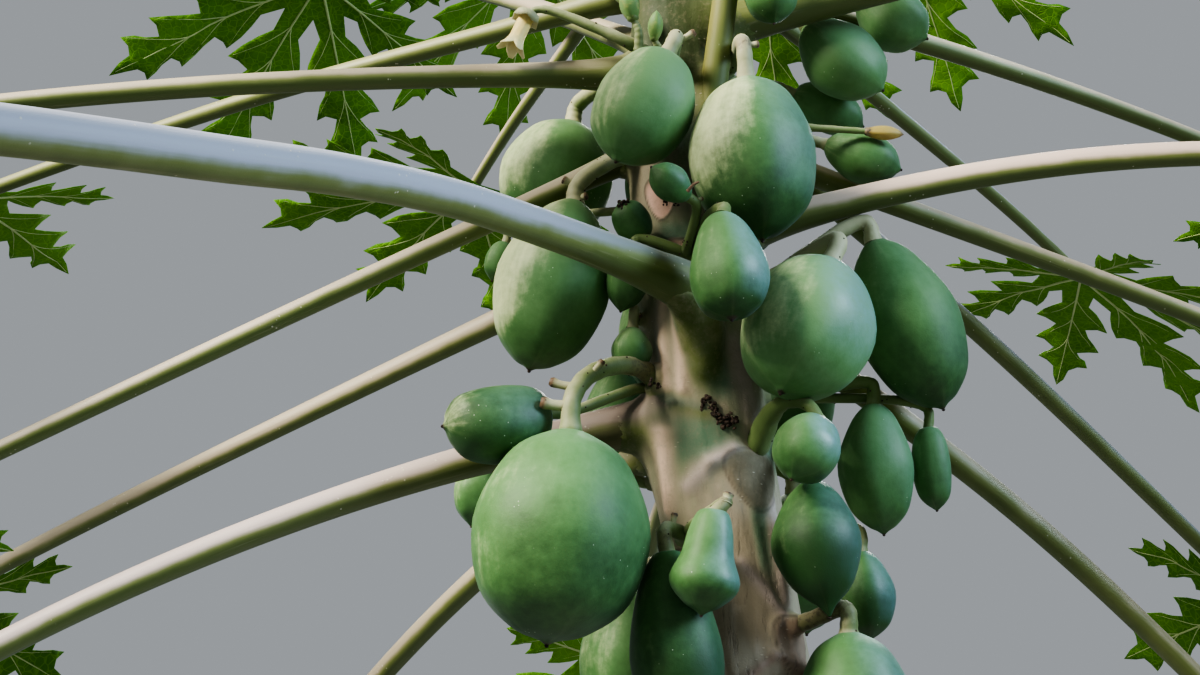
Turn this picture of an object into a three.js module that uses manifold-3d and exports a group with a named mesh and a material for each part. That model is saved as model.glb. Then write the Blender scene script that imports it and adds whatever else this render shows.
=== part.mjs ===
// A papaya tree in fruit, rooted in level ground. Millimetres, +Z up, origin in the middle of the
// trunk's foot. Turns are degrees round the trunk, from +X towards +Y.
import * as THREE from "three";
import { mergeVertices } from "three/addons/utils/BufferGeometryUtils.js";
import Module from "manifold-3d";

const wasm = await Module();
wasm.setup();

const seatGap = 0.35; // left between the trunk and each stem that it carries

// Trunk: it rises from a flared foot, leans to -X and stands upright again in the crown
const trunkHeight = 2660;
const leanReach = 305;
const leanHeight = 2500;
const footRadius = 80;
const neckHeight = 2100;
const neckRadius = 57;
const tipRadius = 30;
const tipTaperPower = 1.3; // above 1, the neck keeps its thickness before it narrows
const flareReach = 27;
const flareHeight = 120;
const flareRidges = 5;
const flareRidgeDepth = 0.35; // as a share of the flare
const trunkSides = 15;
const trunkSteps = 26;
const trunkStepPower = 1.15; // above 1, the rings of points lie closer near the foot

// Leaf stalks and blades
const stalkSides = 5;
const stalkSteps = 5;
const stalkFlareLength = 52;
const stalkTaper = 0.25; // share of its thickness that a leaf stalk loses on its way to the blade
const bladeThickness = 5;
const lobeTurns = [-116, -76, -38, 0, 38, 76, 116];
const lobeLengths = [0.56, 0.8, 0.95, 1, 0.95, 0.8, 0.56];
const notchReach = 0.2; // where the notch between two lobes ends, as a share of the blade
const stalkNotchReach = 0.06; // the same for the notch that faces the leaf's stalk
// One side of a lobe from root to tip, as [share of its length, half width as a share of it]
const lobeSide = [[0.48, 0.155], [0.62, 0.08], [0.85, 0.12]];
const bladeDroop = 0.18;
const bladeRoll = 14; // most that a blade is turned about its middle lobe, in degrees
const rollStep = 2.4; // radians between one leaf and the next

// Fruit and fruit stalks
const fruitSides = 10;
const fruitRidges = 5;
const ridgeDepth = 0.025;
const stalkLeastRadius = 3;
const stalkRadiusShare = 0.045; // added to it, as a share of the fruit's width
const fruitStalkSides = 5;
const fruitStalkSteps = 4;
const stalkRootShare = 0.7; // where a fruit stalk's curve starts, as a share of the trunk's radius
const stalkLeadOut = 12; // it leaves the trunk's side straight for this far
const stalkArch = 18; // and comes down on its fruit from this far above
const stemSeat = 4; // its end is sunk this far in the fruit
const uprightLimit = 0.01; // a limb steeper than this square of its level part counts as upright

// Each leaf: its turn, the height of its stalk on the trunk, the stalk's first rise in degrees, its
// level reach, how far it sags below a straight line, its thickness at the trunk and beyond, and
// the length of the blade's middle lobe with the blade's own dip in degrees
const leaves = [
  { turn: 185, height: 2385, rise: -1, reach: 900, sag: 80, root: 42, stalk: 25, blade: 385, dip: 28 },
  { turn: 240, height: 2100, rise: 10, reach: 1060, sag: 370, root: 48, stalk: 30, blade: 350, dip: 45 },
  { turn: 160, height: 2490, rise: -3, reach: 930, sag: 78, root: 38, stalk: 23, blade: 375, dip: 22 },
  { turn: 182, height: 2318, rise: -26.5, reach: 800, sag: 10, root: 32, stalk: 23, blade: 350, dip: 30 },
  { turn: 160, height: 2208, rise: -19, reach: 940, sag: 25, root: 38, stalk: 26, blade: 365, dip: 55 },
  { turn: 190, height: 2020, rise: -8, reach: 820, sag: 230, root: 50, stalk: 30, blade: 350, dip: 62 },
  { turn: 120, height: 2590, rise: -16, reach: 500, sag: 26, root: 30, stalk: 19, blade: 340, dip: 2 },
  { turn: 145, height: 2010, rise: -14, reach: 620, sag: 261, root: 40, stalk: 28, blade: 340, dip: 70 },
  { turn: 295, height: 2180, rise: 72, reach: 315, sag: 70, root: 36, stalk: 26, blade: 340, dip: 30 },
  { turn: 350, height: 2428, rise: 11, reach: 880, sag: 75, root: 54, stalk: 29, blade: 385, dip: 25 },
  { turn: 20, height: 2500, rise: -3, reach: 900, sag: 95, root: 36, stalk: 24, blade: 375, dip: 30 },
  { turn: 40, height: 2535, rise: -11, reach: 740, sag: 80, root: 31, stalk: 20, blade: 330, dip: 15 },
  { turn: 350, height: 2192, rise: 18, reach: 940, sag: 325, root: 46, stalk: 28, blade: 365, dip: 45 },
  { turn: 13, height: 2326, rise: -15, reach: 900, sag: 25, root: 38, stalk: 24, blade: 365, dip: 45 },
  { turn: 25, height: 2384, rise: -31, reach: 760, sag: 60, root: 36, stalk: 24, blade: 340, dip: 62 },
  { turn: 12, height: 2160, rise: -29, reach: 600, sag: 130, root: 40, stalk: 28, blade: 330, dip: 72 },
  { turn: 258, height: 2550, rise: 48, reach: 600, sag: 130, root: 34, stalk: 21, blade: 350, dip: 32 },
  { turn: 315, height: 2520, rise: 30, reach: 740, sag: 150, root: 36, stalk: 22, blade: 365, dip: 18 },
  { turn: 216, height: 2490, rise: 22, reach: 570, sag: 110, root: 34, stalk: 22, blade: 320, dip: 50 },
  { turn: 76, height: 2476, rise: 38, reach: 720, sag: 140, root: 36, stalk: 23, blade: 365, dip: 22 },
  { turn: 104, height: 2436, rise: 40, reach: 780, sag: 150, root: 36, stalk: 24, blade: 365, dip: 24 },
  { turn: 60, height: 2415, rise: 42, reach: 780, sag: 150, root: 36, stalk: 24, blade: 365, dip: 26 },
  { turn: 130, height: 2400, rise: 36, reach: 780, sag: 150, root: 36, stalk: 24, blade: 365, dip: 24 },
  { turn: 98, height: 2010, rise: -5, reach: 600, sag: 150, root: 38, stalk: 26, blade: 330, dip: 60 },
  { turn: 5, height: 2600, rise: 58, reach: 300, sag: 40, root: 25, stalk: 16, blade: 250, dip: 28 },
  { turn: 175, height: 2620, rise: 62, reach: 240, sag: 20, root: 23, stalk: 14, blade: 230, dip: 30 },
];

// Each bunch: where its stalk leaves the trunk, and its fruit. A fruit's stem end lies at a turn and
// height, out from the trunk's axis; it leans from hanging straight down towards a turn of its own.
// Its form is one of the outlines below. Where its stalk arches higher or lower than most, arch
// stands in for stalkArch.
const bunches = [
  { name: "fruit_left_pair", turn: 205, height: 2042, fruit: [
    { turn: 220, height: 1984, out: 178, long: 192, wide: 160, lean: 6, towards: 180, arch: 36, form: "round" },
    { turn: 207, height: 2005, out: 174, long: 100, wide: 73, lean: 80, towards: 197, form: "slim" },
  ] },
  { name: "fruit_right_pair", turn: 350, height: 2152, fruit: [
    { turn: 327, height: 2150, out: 149, long: 150, wide: 124, lean: 27, towards: 217, arch: 32, form: "round" },
    { turn: 353, height: 2196, out: 184, long: 182, wide: 103, lean: 20, towards: 6, form: "egg" },
  ] },
  { name: "fruit_middle_bunch", turn: 262, height: 2166, fruit: [
    { turn: 276, height: 2171, out: 167, long: 102, wide: 71, lean: 8, towards: 297, arch: 10, form: "pear" },
    { turn: 267, height: 2197, out: 138, long: 47, wide: 34, lean: 114, towards: 217, arch: 10, form: "egg" },
    { turn: 231, height: 2176, out: 89, long: 67, wide: 42, lean: 14, towards: 161, arch: 4, form: "egg" },
    { turn: 228, height: 2183, out: 74, long: 43, wide: 37, lean: 141, towards: 218, arch: 5, form: "slim" },
  ] },
  { name: "fruit_lower_pair", turn: 235, height: 1895, fruit: [
    { turn: 235, height: 1877, out: 110, long: 156, wide: 84, lean: 6, towards: 10, form: "pear" },
    { turn: 262, height: 1906, out: 141, long: 90, wide: 62, lean: 8, towards: 181, form: "bottle" },
  ] },
  { name: "fruit_far_right_pair", turn: 2, height: 2038, fruit: [
    { turn: 356, height: 2032, out: 164, long: 128, wide: 73, lean: 4, towards: 54, form: "egg" },
    { turn: 0, height: 2009, out: 216, long: 80, wide: 38, lean: 6, towards: 52, form: "slim" },
  ] },
  { name: "fruit_top_right_pair", turn: 4, height: 2472, fruit: [
    { turn: 9, height: 2454, out: 142, long: 110, wide: 79, lean: 46, towards: 358, form: "egg" },
    { turn: 9, height: 2493, out: 205, long: 86, wide: 70, lean: 54, towards: 358, form: "egg" },
  ] },
  { name: "fruit_right_small_pair", turn: 15, height: 2385, fruit: [
    { turn: 3, height: 2311, out: 150, long: 82, wide: 55, lean: 67, towards: 353, form: "egg" },
    { turn: 29, height: 2397, out: 152, long: 82, wide: 50, lean: 66, towards: 8, form: "slim" },
  ] },
  { name: "fruit_upper_left", turn: 262, height: 2375, fruit: [
    { turn: 262, height: 2361, out: 106, long: 125, wide: 96, lean: 24, towards: 183, form: "round" },
  ] },
  { name: "fruit_upper_middle", turn: 343, height: 2386, fruit: [
    { turn: 298, height: 2331, out: 125, long: 165, wide: 121, lean: 4, towards: 0, arch: 38, form: "round" },
  ] },
  { name: "fruit_left_behind", turn: 150, height: 2400, fruit: [
    { turn: 142, height: 2370, out: 140, long: 136, wide: 124, lean: 15, towards: 160, form: "round" },
  ] },
  { name: "fruit_left_high", turn: 205, height: 2285, fruit: [
    { turn: 198, height: 2233, out: 118, long: 180, wide: 115, lean: 14, towards: 182, form: "egg" },
  ] },
  { name: "fruit_right_knob", turn: 314, height: 1986, fruit: [
    { turn: 308, height: 1993, out: 148, long: 67, wide: 61, lean: 31, towards: 210, arch: 12, form: "round" },
  ] },
  { name: "fruit_right_pointed", turn: 326, height: 1965, fruit: [
    { turn: 314, height: 1944, out: 114, long: 126, wide: 82, lean: 7, towards: 313, form: "pointed" },
  ] },
  { name: "fruit_right_behind", turn: 8, height: 1915, fruit: [
    { turn: 3, height: 1890, out: 131, long: 86, wide: 56, lean: 4, towards: 50, form: "egg" },
  ] },
  { name: "fruit_lowest", turn: 318, height: 1815, fruit: [
    { turn: 317, height: 1806, out: 122, long: 132, wide: 101, lean: 2, towards: 317, form: "round" },
  ] },
  { name: "fruit_tucked", turn: 205, height: 2112, fruit: [
    { turn: 216, height: 2098, out: 82, long: 46, wide: 40, lean: 5, towards: 200, form: "egg" },
  ] },
  { name: "fruit_far_left", turn: 168, height: 1955, fruit: [
    { turn: 176, height: 1984, out: 222, long: 70, wide: 48, lean: 13, towards: 158, form: "egg" },
  ] },
  { name: "fruit_far_left_small", turn: 166, height: 2240, fruit: [
    { turn: 160, height: 2223, out: 200, long: 42, wide: 29, lean: 20, towards: 168, form: "slim" },
  ] },
  { name: "fruit_top_middle", turn: 324, height: 2496, fruit: [
    { turn: 318, height: 2480, out: 122, long: 77, wide: 56, lean: 4, towards: 311, form: "round" },
  ] },
  { name: "fruit_back_high_pair", turn: 80, height: 2385, fruit: [
    { turn: 58, height: 2362, out: 128, long: 140, wide: 100, lean: 10, towards: 60, form: "egg" },
    { turn: 98, height: 2360, out: 112, long: 96, wide: 66, lean: 20, towards: 110, form: "egg" },
  ] },
  { name: "fruit_back_middle", turn: 95, height: 2245, fruit: [
    { turn: 93, height: 2222, out: 132, long: 160, wide: 116, lean: 8, towards: 93, form: "round" },
  ] },
  { name: "fruit_back_right", turn: 48, height: 2165, fruit: [
    { turn: 45, height: 2140, out: 134, long: 150, wide: 104, lean: 8, towards: 45, form: "egg" },
  ] },
  { name: "fruit_back_left", turn: 130, height: 2115, fruit: [
    { turn: 126, height: 2092, out: 134, long: 118, wide: 82, lean: 8, towards: 130, form: "pear" },
  ] },
  { name: "fruit_back_low_pair", turn: 66, height: 1985, fruit: [
    { turn: 50, height: 1962, out: 138, long: 145, wide: 100, lean: 6, towards: 45, form: "round" },
    { turn: 90, height: 1935, out: 130, long: 100, wide: 66, lean: 10, towards: 100, form: "pear" },
  ] },
  { name: "fruit_back_lowest", turn: 140, height: 1880, fruit: [
    { turn: 142, height: 1860, out: 118, long: 140, wide: 100, lean: 5, towards: 142, form: "round" },
  ] },
];

// Outlines of the fruit as [share of the length from the stem end, share of the half width]
const fruitForms = {
  round: [[0.03, 0.26], [0.16, 0.7], [0.47, 1], [0.76, 0.87], [0.94, 0.44]],
  egg: [[0.03, 0.24], [0.16, 0.62], [0.5, 1], [0.79, 0.81], [0.95, 0.38]],
  pointed: [[0.03, 0.22], [0.18, 0.66], [0.48, 1], [0.76, 0.72], [0.94, 0.18]],
  pear: [[0.03, 0.34], [0.2, 0.68], [0.62, 1], [0.85, 0.83], [0.965, 0.46]],
  bottle: [[0.03, 0.44], [0.2, 0.62], [0.44, 0.74], [0.7, 1], [0.92, 0.52]],
  slim: [[0.03, 0.5], [0.2, 0.86], [0.5, 1], [0.8, 0.85], [0.95, 0.46]],
};

const leafGreen = { color: 0x4d8b3a, roughness: 0.55, metalness: 0 };
const fruitGreen = { color: 0x5d8f5a, roughness: 0.5, metalness: 0 };
const barkGrey = { color: 0x9c8f78, roughness: 0.85, metalness: 0 };

const radians = THREE.MathUtils.degToRad;

function solidOf(geometry) {
  const bare = geometry.clone();
  bare.deleteAttribute("normal");
  bare.deleteAttribute("uv");
  const merged = mergeVertices(bare);
  const vertProperties = new Float32Array(merged.attributes.position.array);
  const triVerts = new Uint32Array(merged.index.array);
  return new wasm.Manifold(new wasm.Mesh({ numProp: 3, vertProperties, triVerts }));
}

function geometryOf(solid) {
  const mesh = solid.getMesh();
  const geometry = new THREE.BufferGeometry();
  geometry.setAttribute("position", new THREE.BufferAttribute(new Float32Array(mesh.vertProperties), 3));
  geometry.setIndex(new THREE.BufferAttribute(new Uint32Array(mesh.triVerts), 1));
  return geometry;
}

function joined(solids) {
  return solids.reduce((sum, solid) => sum.add(solid));
}

function trunkAxis(height) {
  const swing = 1 - Math.cos((Math.PI * Math.min(height, leanHeight)) / leanHeight);
  return new THREE.Vector3((-leanReach * swing) / 2, 0, height);
}

function trunkRadius(height) {
  if (height < neckHeight) {
    return footRadius + ((neckRadius - footRadius) * height) / neckHeight;
  }
  const share = (height - neckHeight) / (trunkHeight - neckHeight);
  return neckRadius + (tipRadius - neckRadius) * share ** tipTaperPower;
}

// Moves each point of a closed upright cylinder by a rule of its step, its turn and its offsets
function reshaped(sides, steps, place) {
  const geometry = new THREE.CylinderGeometry(1, 1, 1, sides, steps);
  const points = geometry.attributes.position;
  for (let i = 0; i < points.count; i++) {
    const step = Math.round((points.getY(i) + 0.5) * steps);
    const point = place(step, points.getX(i), points.getZ(i));
    points.setXYZ(i, point.x, point.y, point.z);
  }
  return geometry;
}

// The trunk, thicker by grow all over
function trunkGeometry(grow) {
  return reshaped(trunkSides, trunkSteps, (step, x, z) => {
    const share = step / trunkSteps;
    const height = trunkHeight * share ** trunkStepPower;
    const flare = flareReach * Math.exp(-height / flareHeight);
    const ridge = 1 + flareRidgeDepth * Math.cos(flareRidges * Math.atan2(x, z));
    const radius = trunkRadius(height) + flare * ridge + grow;
    const axis = trunkAxis(height);
    const top = step === trunkSteps ? grow : 0;
    return new THREE.Vector3(axis.x + z * radius, x * radius, height + top);
  });
}

// A limb of round section along a curve, its radius given at each share of the curve
function limb(curve, radiusAt, sides, steps) {
  return reshaped(sides, steps, (step, x, z) => {
    const share = step / steps;
    const along = curve.getTangentAt(share);
    const aside = new THREE.Vector3(0, 0, 1).cross(along);
    if (aside.lengthSq() < uprightLimit) {
      aside.set(0, 1, 0);
    }
    aside.normalize();
    const across = aside.clone().cross(along);
    const radius = radiusAt(share);
    return curve.getPointAt(share).addScaledVector(aside, x * radius).addScaledVector(across, z * radius);
  });
}

// The outline of a whole blade about the end of its stalk, its middle lobe along +X
function bladeOutline(length) {
  const at = (turn, reach, aside) => {
    const spot = new THREE.Vector2(reach * length, aside * length);
    return spot.rotateAround(new THREE.Vector2(0, 0), radians(turn));
  };
  return lobeTurns.flatMap((turn, i) => {
    const size = lobeLengths[i];
    const near = lobeSide.map(([reach, half]) => at(turn, reach * size, -half * size));
    const far = lobeSide.map(([reach, half]) => at(turn, reach * size, half * size)).reverse();
    const last = i + 1 === lobeTurns.length;
    const notch = last ? at(180, stalkNotchReach, 0) : at((turn + lobeTurns[i + 1]) / 2, notchReach, 0);
    return [...near, at(turn, size, 0), ...far, notch];
  });
}

// A flat blade, drooping more the further it is from its stalk
function bladeSolid(tip, dip, roll, length) {
  const blade = new THREE.ExtrudeGeometry(new THREE.Shape(bladeOutline(length)), {
    depth: bladeThickness,
    bevelEnabled: false,
  });
  blade.translate(0, 0, -bladeThickness / 2);
  const points = blade.attributes.position;
  for (let i = 0; i < points.count; i++) {
    const share = Math.hypot(points.getX(i), points.getY(i)) / length;
    points.setZ(i, points.getZ(i) - bladeDroop * length * share ** 2);
  }
  blade.rotateX(roll);
  blade.rotateY(dip);
  blade.translate(tip.x, tip.y, tip.z);
  return solidOf(blade);
}

// Built pointing along +X from the trunk's axis, to be turned to its place round the trunk
function leafSolid(leaf, i) {
  const start = new THREE.Vector3(0, 0, 0);
  const slope = Math.tan(radians(leaf.rise));
  const middle = new THREE.Vector3(leaf.reach / 2, 0, (slope * leaf.reach) / 2);
  const tip = new THREE.Vector3(leaf.reach, 0, slope * leaf.reach - leaf.sag);
  const curve = new THREE.QuadraticBezierCurve3(start, middle, tip);
  const length = curve.getLength();
  const bareStart = trunkRadius(leaf.height);
  const radiusAt = (share) => {
    const beyond = Math.max(0, share * length - bareStart);
    const taper = 1 - stalkTaper * share;
    return (leaf.stalk * taper + (leaf.root - leaf.stalk) * Math.exp(-beyond / stalkFlareLength)) / 2;
  };
  const stalk = solidOf(limb(curve, radiusAt, stalkSides, stalkSteps));
  const roll = radians(bladeRoll * Math.sin(i * rollStep));
  return stalk.add(bladeSolid(tip, radians(leaf.dip), roll, leaf.blade));
}

function fruitGeometry(fruit) {
  const half = fruit.wide / 2;
  const form = fruitForms[fruit.form];
  const outline = form.map(([down, out]) => new THREE.Vector2(out * half, -down * fruit.long));
  outline.unshift(new THREE.Vector2(0, 0));
  outline.push(new THREE.Vector2(0, -fruit.long));
  outline.reverse();
  const geometry = new THREE.LatheGeometry(outline, fruitSides);
  const points = geometry.attributes.position;
  for (let i = 0; i < points.count; i++) {
    const swell = 1 + ridgeDepth * Math.cos(fruitRidges * Math.atan2(points.getX(i), points.getZ(i)));
    points.setX(i, points.getX(i) * swell);
    points.setZ(i, points.getZ(i) * swell);
  }
  return geometry;
}

// A bunch is built about the trunk's axis at the height of its stalk's root
function bunchSolid(bunch) {
  const foot = trunkAxis(bunch.height);
  const rootTurn = radians(bunch.turn);
  const outward = new THREE.Vector3(Math.cos(rootTurn), Math.sin(rootTurn), 0);
  const trunkSide = trunkRadius(bunch.height);
  const solids = bunch.fruit.flatMap((fruit) => {
    const turn = radians(fruit.turn);
    const stem = trunkAxis(fruit.height).sub(foot);
    stem.add(new THREE.Vector3(Math.cos(turn), Math.sin(turn), 0).multiplyScalar(fruit.out));
    const lean = radians(fruit.lean);
    const leanTurn = radians(fruit.towards);
    const hang = new THREE.Vector3(
      Math.sin(lean) * Math.cos(leanTurn),
      Math.sin(lean) * Math.sin(leanTurn),
      -Math.cos(lean),
    );
    const body = fruitGeometry(fruit);
    body.applyQuaternion(new THREE.Quaternion().setFromUnitVectors(new THREE.Vector3(0, -1, 0), hang));
    body.translate(stem.x, stem.y, stem.z);
    const arch = fruit.arch ?? stalkArch;
    const stalkRadius = stalkLeastRadius + stalkRadiusShare * fruit.wide;
    const stalk = new THREE.CatmullRomCurve3([
      outward.clone().multiplyScalar(trunkSide * stalkRootShare),
      outward.clone().multiplyScalar(trunkSide + stalkLeadOut),
      stem.clone().addScaledVector(hang, -arch),
      stem.clone().addScaledVector(hang, stemSeat),
    ]);
    return [solidOf(limb(stalk, () => stalkRadius, fruitStalkSides, fruitStalkSteps)), solidOf(body)];
  });
  return joined(solids);
}

// A mesh in its place on the trunk, cut where it would touch the trunk
function seated(name, solid, place, look) {
  const matrix = new THREE.Matrix4().makeRotationZ(place.turn).setPosition(place.foot);
  const trunk = solidOf(trunkGeometry(seatGap).applyMatrix4(matrix.clone().invert()));
  const mesh = new THREE.Mesh(geometryOf(solid.subtract(trunk)), new THREE.MeshStandardMaterial(look));
  mesh.name = name;
  mesh.position.copy(place.foot);
  mesh.rotation.z = place.turn;
  return mesh;
}

const tree = new THREE.Group();

const trunk = new THREE.Mesh(trunkGeometry(0), new THREE.MeshStandardMaterial(barkGrey));
trunk.name = "trunk";
tree.add(trunk);

const crown = new THREE.Group();
leaves.forEach((leaf, i) => {
  const place = { turn: radians(leaf.turn), foot: trunkAxis(leaf.height) };
  crown.add(seated(`leaf_${String(i + 1).padStart(2, "0")}`, leafSolid(leaf, i), place, leafGreen));
});
tree.add(crown);

const fruitColumn = new THREE.Group();
bunches.forEach((bunch) => {
  const place = { turn: 0, foot: trunkAxis(bunch.height) };
  fruitColumn.add(seated(bunch.name, bunchSolid(bunch), place, fruitGreen));
});
tree.add(fruitColumn);

export default tree;
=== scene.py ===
import math

import bmesh
import bpy
import numpy as np
from mathutils import Euler, Matrix, Vector, geometry


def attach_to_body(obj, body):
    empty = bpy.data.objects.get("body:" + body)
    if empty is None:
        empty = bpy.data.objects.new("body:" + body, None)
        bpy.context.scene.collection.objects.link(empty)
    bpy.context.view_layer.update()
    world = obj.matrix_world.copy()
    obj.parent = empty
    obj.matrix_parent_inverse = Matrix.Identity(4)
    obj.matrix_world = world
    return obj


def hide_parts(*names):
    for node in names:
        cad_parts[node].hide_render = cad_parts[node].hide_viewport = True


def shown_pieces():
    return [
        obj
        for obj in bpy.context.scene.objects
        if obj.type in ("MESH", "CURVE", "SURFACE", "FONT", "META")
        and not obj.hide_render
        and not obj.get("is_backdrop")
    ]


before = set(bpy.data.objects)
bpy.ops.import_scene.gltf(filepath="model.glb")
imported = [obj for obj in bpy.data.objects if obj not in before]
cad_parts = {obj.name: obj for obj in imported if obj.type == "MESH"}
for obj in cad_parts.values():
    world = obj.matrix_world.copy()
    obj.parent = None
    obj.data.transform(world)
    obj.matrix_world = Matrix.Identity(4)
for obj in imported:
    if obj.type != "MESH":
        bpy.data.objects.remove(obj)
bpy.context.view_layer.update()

mm = 0.001  # the plant's sizes are kept in millimetres, as its grower would note them
lightSide = (-0.42, -0.10, 0.90)  # the side that the sky lights most
rng = np.random.default_rng(7)


class Wire:  # one output of a node; arithmetic on it adds Math nodes to the same tree
    def __init__(self, book, socket):
        self.book = book
        self.socket = socket

    def beside(self, name):  # another output of the same node
        return Wire(self.book, self.socket.node.outputs[name])

    def math(self, operation, first, second):
        return self.book.add("ShaderNodeMath", {"operation": operation}, {0: first, 1: second})

    def __add__(self, other):
        return self.math("ADD", self, other)

    def __radd__(self, other):
        return self.math("ADD", other, self)

    def __sub__(self, other):
        return self.math("SUBTRACT", self, other)

    def __rsub__(self, other):
        return self.math("SUBTRACT", other, self)

    def __mul__(self, other):
        return self.math("MULTIPLY", self, other)

    def __rmul__(self, other):
        return self.math("MULTIPLY", other, self)


class Book:  # a node tree that is being written
    def __init__(self, tree):
        self.tree = tree

    # Adds a node: its settings first, then the values or links of its sockets
    def add(self, kind, settings=None, sockets=None, output=0):
        made = self.tree.nodes.new(kind)
        for name, value in (settings or {}).items():
            setattr(made, name, value)
        for name, value in (sockets or {}).items():
            self.feed(made.inputs[name], value)
        return Wire(self, made.outputs[output])

    def feed(self, socket, value):
        if isinstance(value, Wire):
            self.tree.links.new(value.socket, socket)
        elif socket.type == "RGBA" and len(value) == 3:
            socket.default_value = (*value, 1)
        else:
            socket.default_value = value

    def attribute(self, name, output="Fac"):
        return self.add("ShaderNodeAttribute", {"attribute_name": name}, output=output)

    def objectSpot(self):
        return self.add("ShaderNodeTexCoord", output="Object")

    def noise(self, vector, scale, detail=3, roughness=0.55):
        return self.add("ShaderNodeTexNoise", {}, {
            "Vector": vector, "Scale": scale, "Detail": detail, "Roughness": roughness})

    def stretched(self, vector, scale):
        return self.add("ShaderNodeMapping", {}, {"Vector": vector, "Scale": scale})

    def step(self, value, low, high):
        return self.add("ShaderNodeMapRange", {"interpolation_type": "SMOOTHSTEP"}, {
            "Value": value, "From Min": low, "From Max": high})

    def mixColour(self, factor, first, second):
        return self.add("ShaderNodeMix", {"data_type": "RGBA"}, {0: factor, 6: first, 7: second}, output=2)

    # Small round dots that come in patches: how fine, large and soft they are, then the patches'
    # scale and the limits between bare skin and the full number
    def dots(self, vector, fine, size, soft, patchScale, low, high):
        cells = self.add("ShaderNodeTexVoronoi", {}, {"Vector": vector, "Scale": fine}, output="Distance")
        patches = self.noise(self.objectSpot(), patchScale, 1)
        return self.step(size - cells, 0, soft) * self.step(patches, low, high)


def newMaterial(name, fixed):
    material = bpy.data.materials.new(name)
    material.use_nodes = True
    shader = material.node_tree.nodes["Principled BSDF"]
    for socketName, value in fixed.items():
        shader.inputs[socketName].default_value = value
    return material, Book(material.node_tree), shader


# Colour, roughness, and a bump: the height it is drawn from, its strength and its depth in metres
def finished(book, shader, colour, roughness, height, strength, depth):
    relief = book.add("ShaderNodeBump", {}, {"Height": height, "Strength": strength, "Distance": depth})
    for name, value in {"Base Color": colour, "Roughness": roughness, "Normal": relief}.items():
        book.feed(shader.inputs[name], value)


def makeFruitSkin():
    look = {
        "deep": (0.010, 0.046, 0.006), "mid": (0.066, 0.165, 0.046), "pale": (0.120, 0.240, 0.092),
        "blush": (0.530, 0.590, 0.330), "wax": (0.170, 0.295, 0.350), "speck": (0.50, 0.60, 0.42),
        "apex": (0.030, 0.020, 0.012), "roughness": 0.50, "bump": (0.30, 0.0014),
        "specks": (190, 0.13, 0.05, 43, 0.60, 0.68),
    }
    material, book, shader = newMaterial("unripe fruit skin", {
        "Sheen Weight": 0.05, "Sheen Roughness": 0.4, "Sheen Tint": (0.75, 0.90, 1, 1),
        "Specular IOR Level": 0.36, "Subsurface Weight": 0.02, "Subsurface Scale": 0.008})
    spot = book.objectSpot()
    down = book.attribute("down")
    patches = book.noise(spot, 24, 3)
    mottle = book.noise(spot, 120, 4, 0.65)
    grain = book.noise(spot, 620, 2)
    streaks = book.noise(book.stretched(book.attribute("skin", "Vector"), (5, 5, 0.8)), 1, 3, 0.55)
    # The green is paler at the stem end and darker towards the hanging apex, partly its own and partly
    # painted shade, and paler where it faces the sky, painted light
    lift = book.attribute("tone") * 0.34 + patches * 0.60 + mottle * 0.34 + (0.5 - down) * 0.40
    lift = lift + book.attribute("lit") * 0.16
    colour = book.mixColour(book.step(lift, 0.10, 0.74), look["deep"], look["mid"])
    colour = book.mixColour(book.step(lift + streaks * 0.2, 0.66, 1.15) * 0.85, colour, look["pale"])
    # The pale blush: partly the fruit's own and partly painted light on the side that the key lamp lights
    sunny = book.attribute("blush")
    edge = sunny + (streaks - 0.5) * 0.9 + (patches - 0.5) * 0.8 + (mottle - 0.5) * 0.7
    blush = book.step(edge, 0.15, 1.30) * book.step(sunny, 0, 0.35)
    colour = book.mixColour(blush, colour, look["blush"])
    # A painted bluish sheen over the waxy bloom, on the side that faces the cool lamp
    colour = book.mixColour(book.attribute("wax") * (0.25 + mottle * 0.8), colour, look["wax"])
    ribs = book.step(book.attribute("rib"), 0.82, 1) * book.step(down, 0.6, 1)
    colour = book.mixColour(ribs * 0.03, colour, look["blush"])
    specks = book.dots(spot, *look["specks"])
    colour = book.mixColour(specks * 0.55, colour, look["speck"])
    colour = book.mixColour(book.step(down + (mottle - 0.5) * 0.012, 0.990, 0.996), colour, look["apex"])
    roughness = look["roughness"] + patches * 0.10 + mottle * 0.10 - book.attribute("wax") * 0.3
    height = mottle * 0.6 + grain * 0.25 + patches * 1.6 + specks * 0.5
    finished(book, shader, colour, roughness, height, *look["bump"])
    return material


# A stalk's colours from its shaded underside over its flank to the side that the sky lights
def stemColour(book, lit, tint):
    under = (0.056, 0.080, 0.012)
    flank = (0.130, 0.155, 0.038)
    colour = book.mixColour(book.step(lit, -0.50, 0.02), under, flank)
    return book.mixColour(book.step(lit, -0.14, 0.36), colour, tint)


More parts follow.
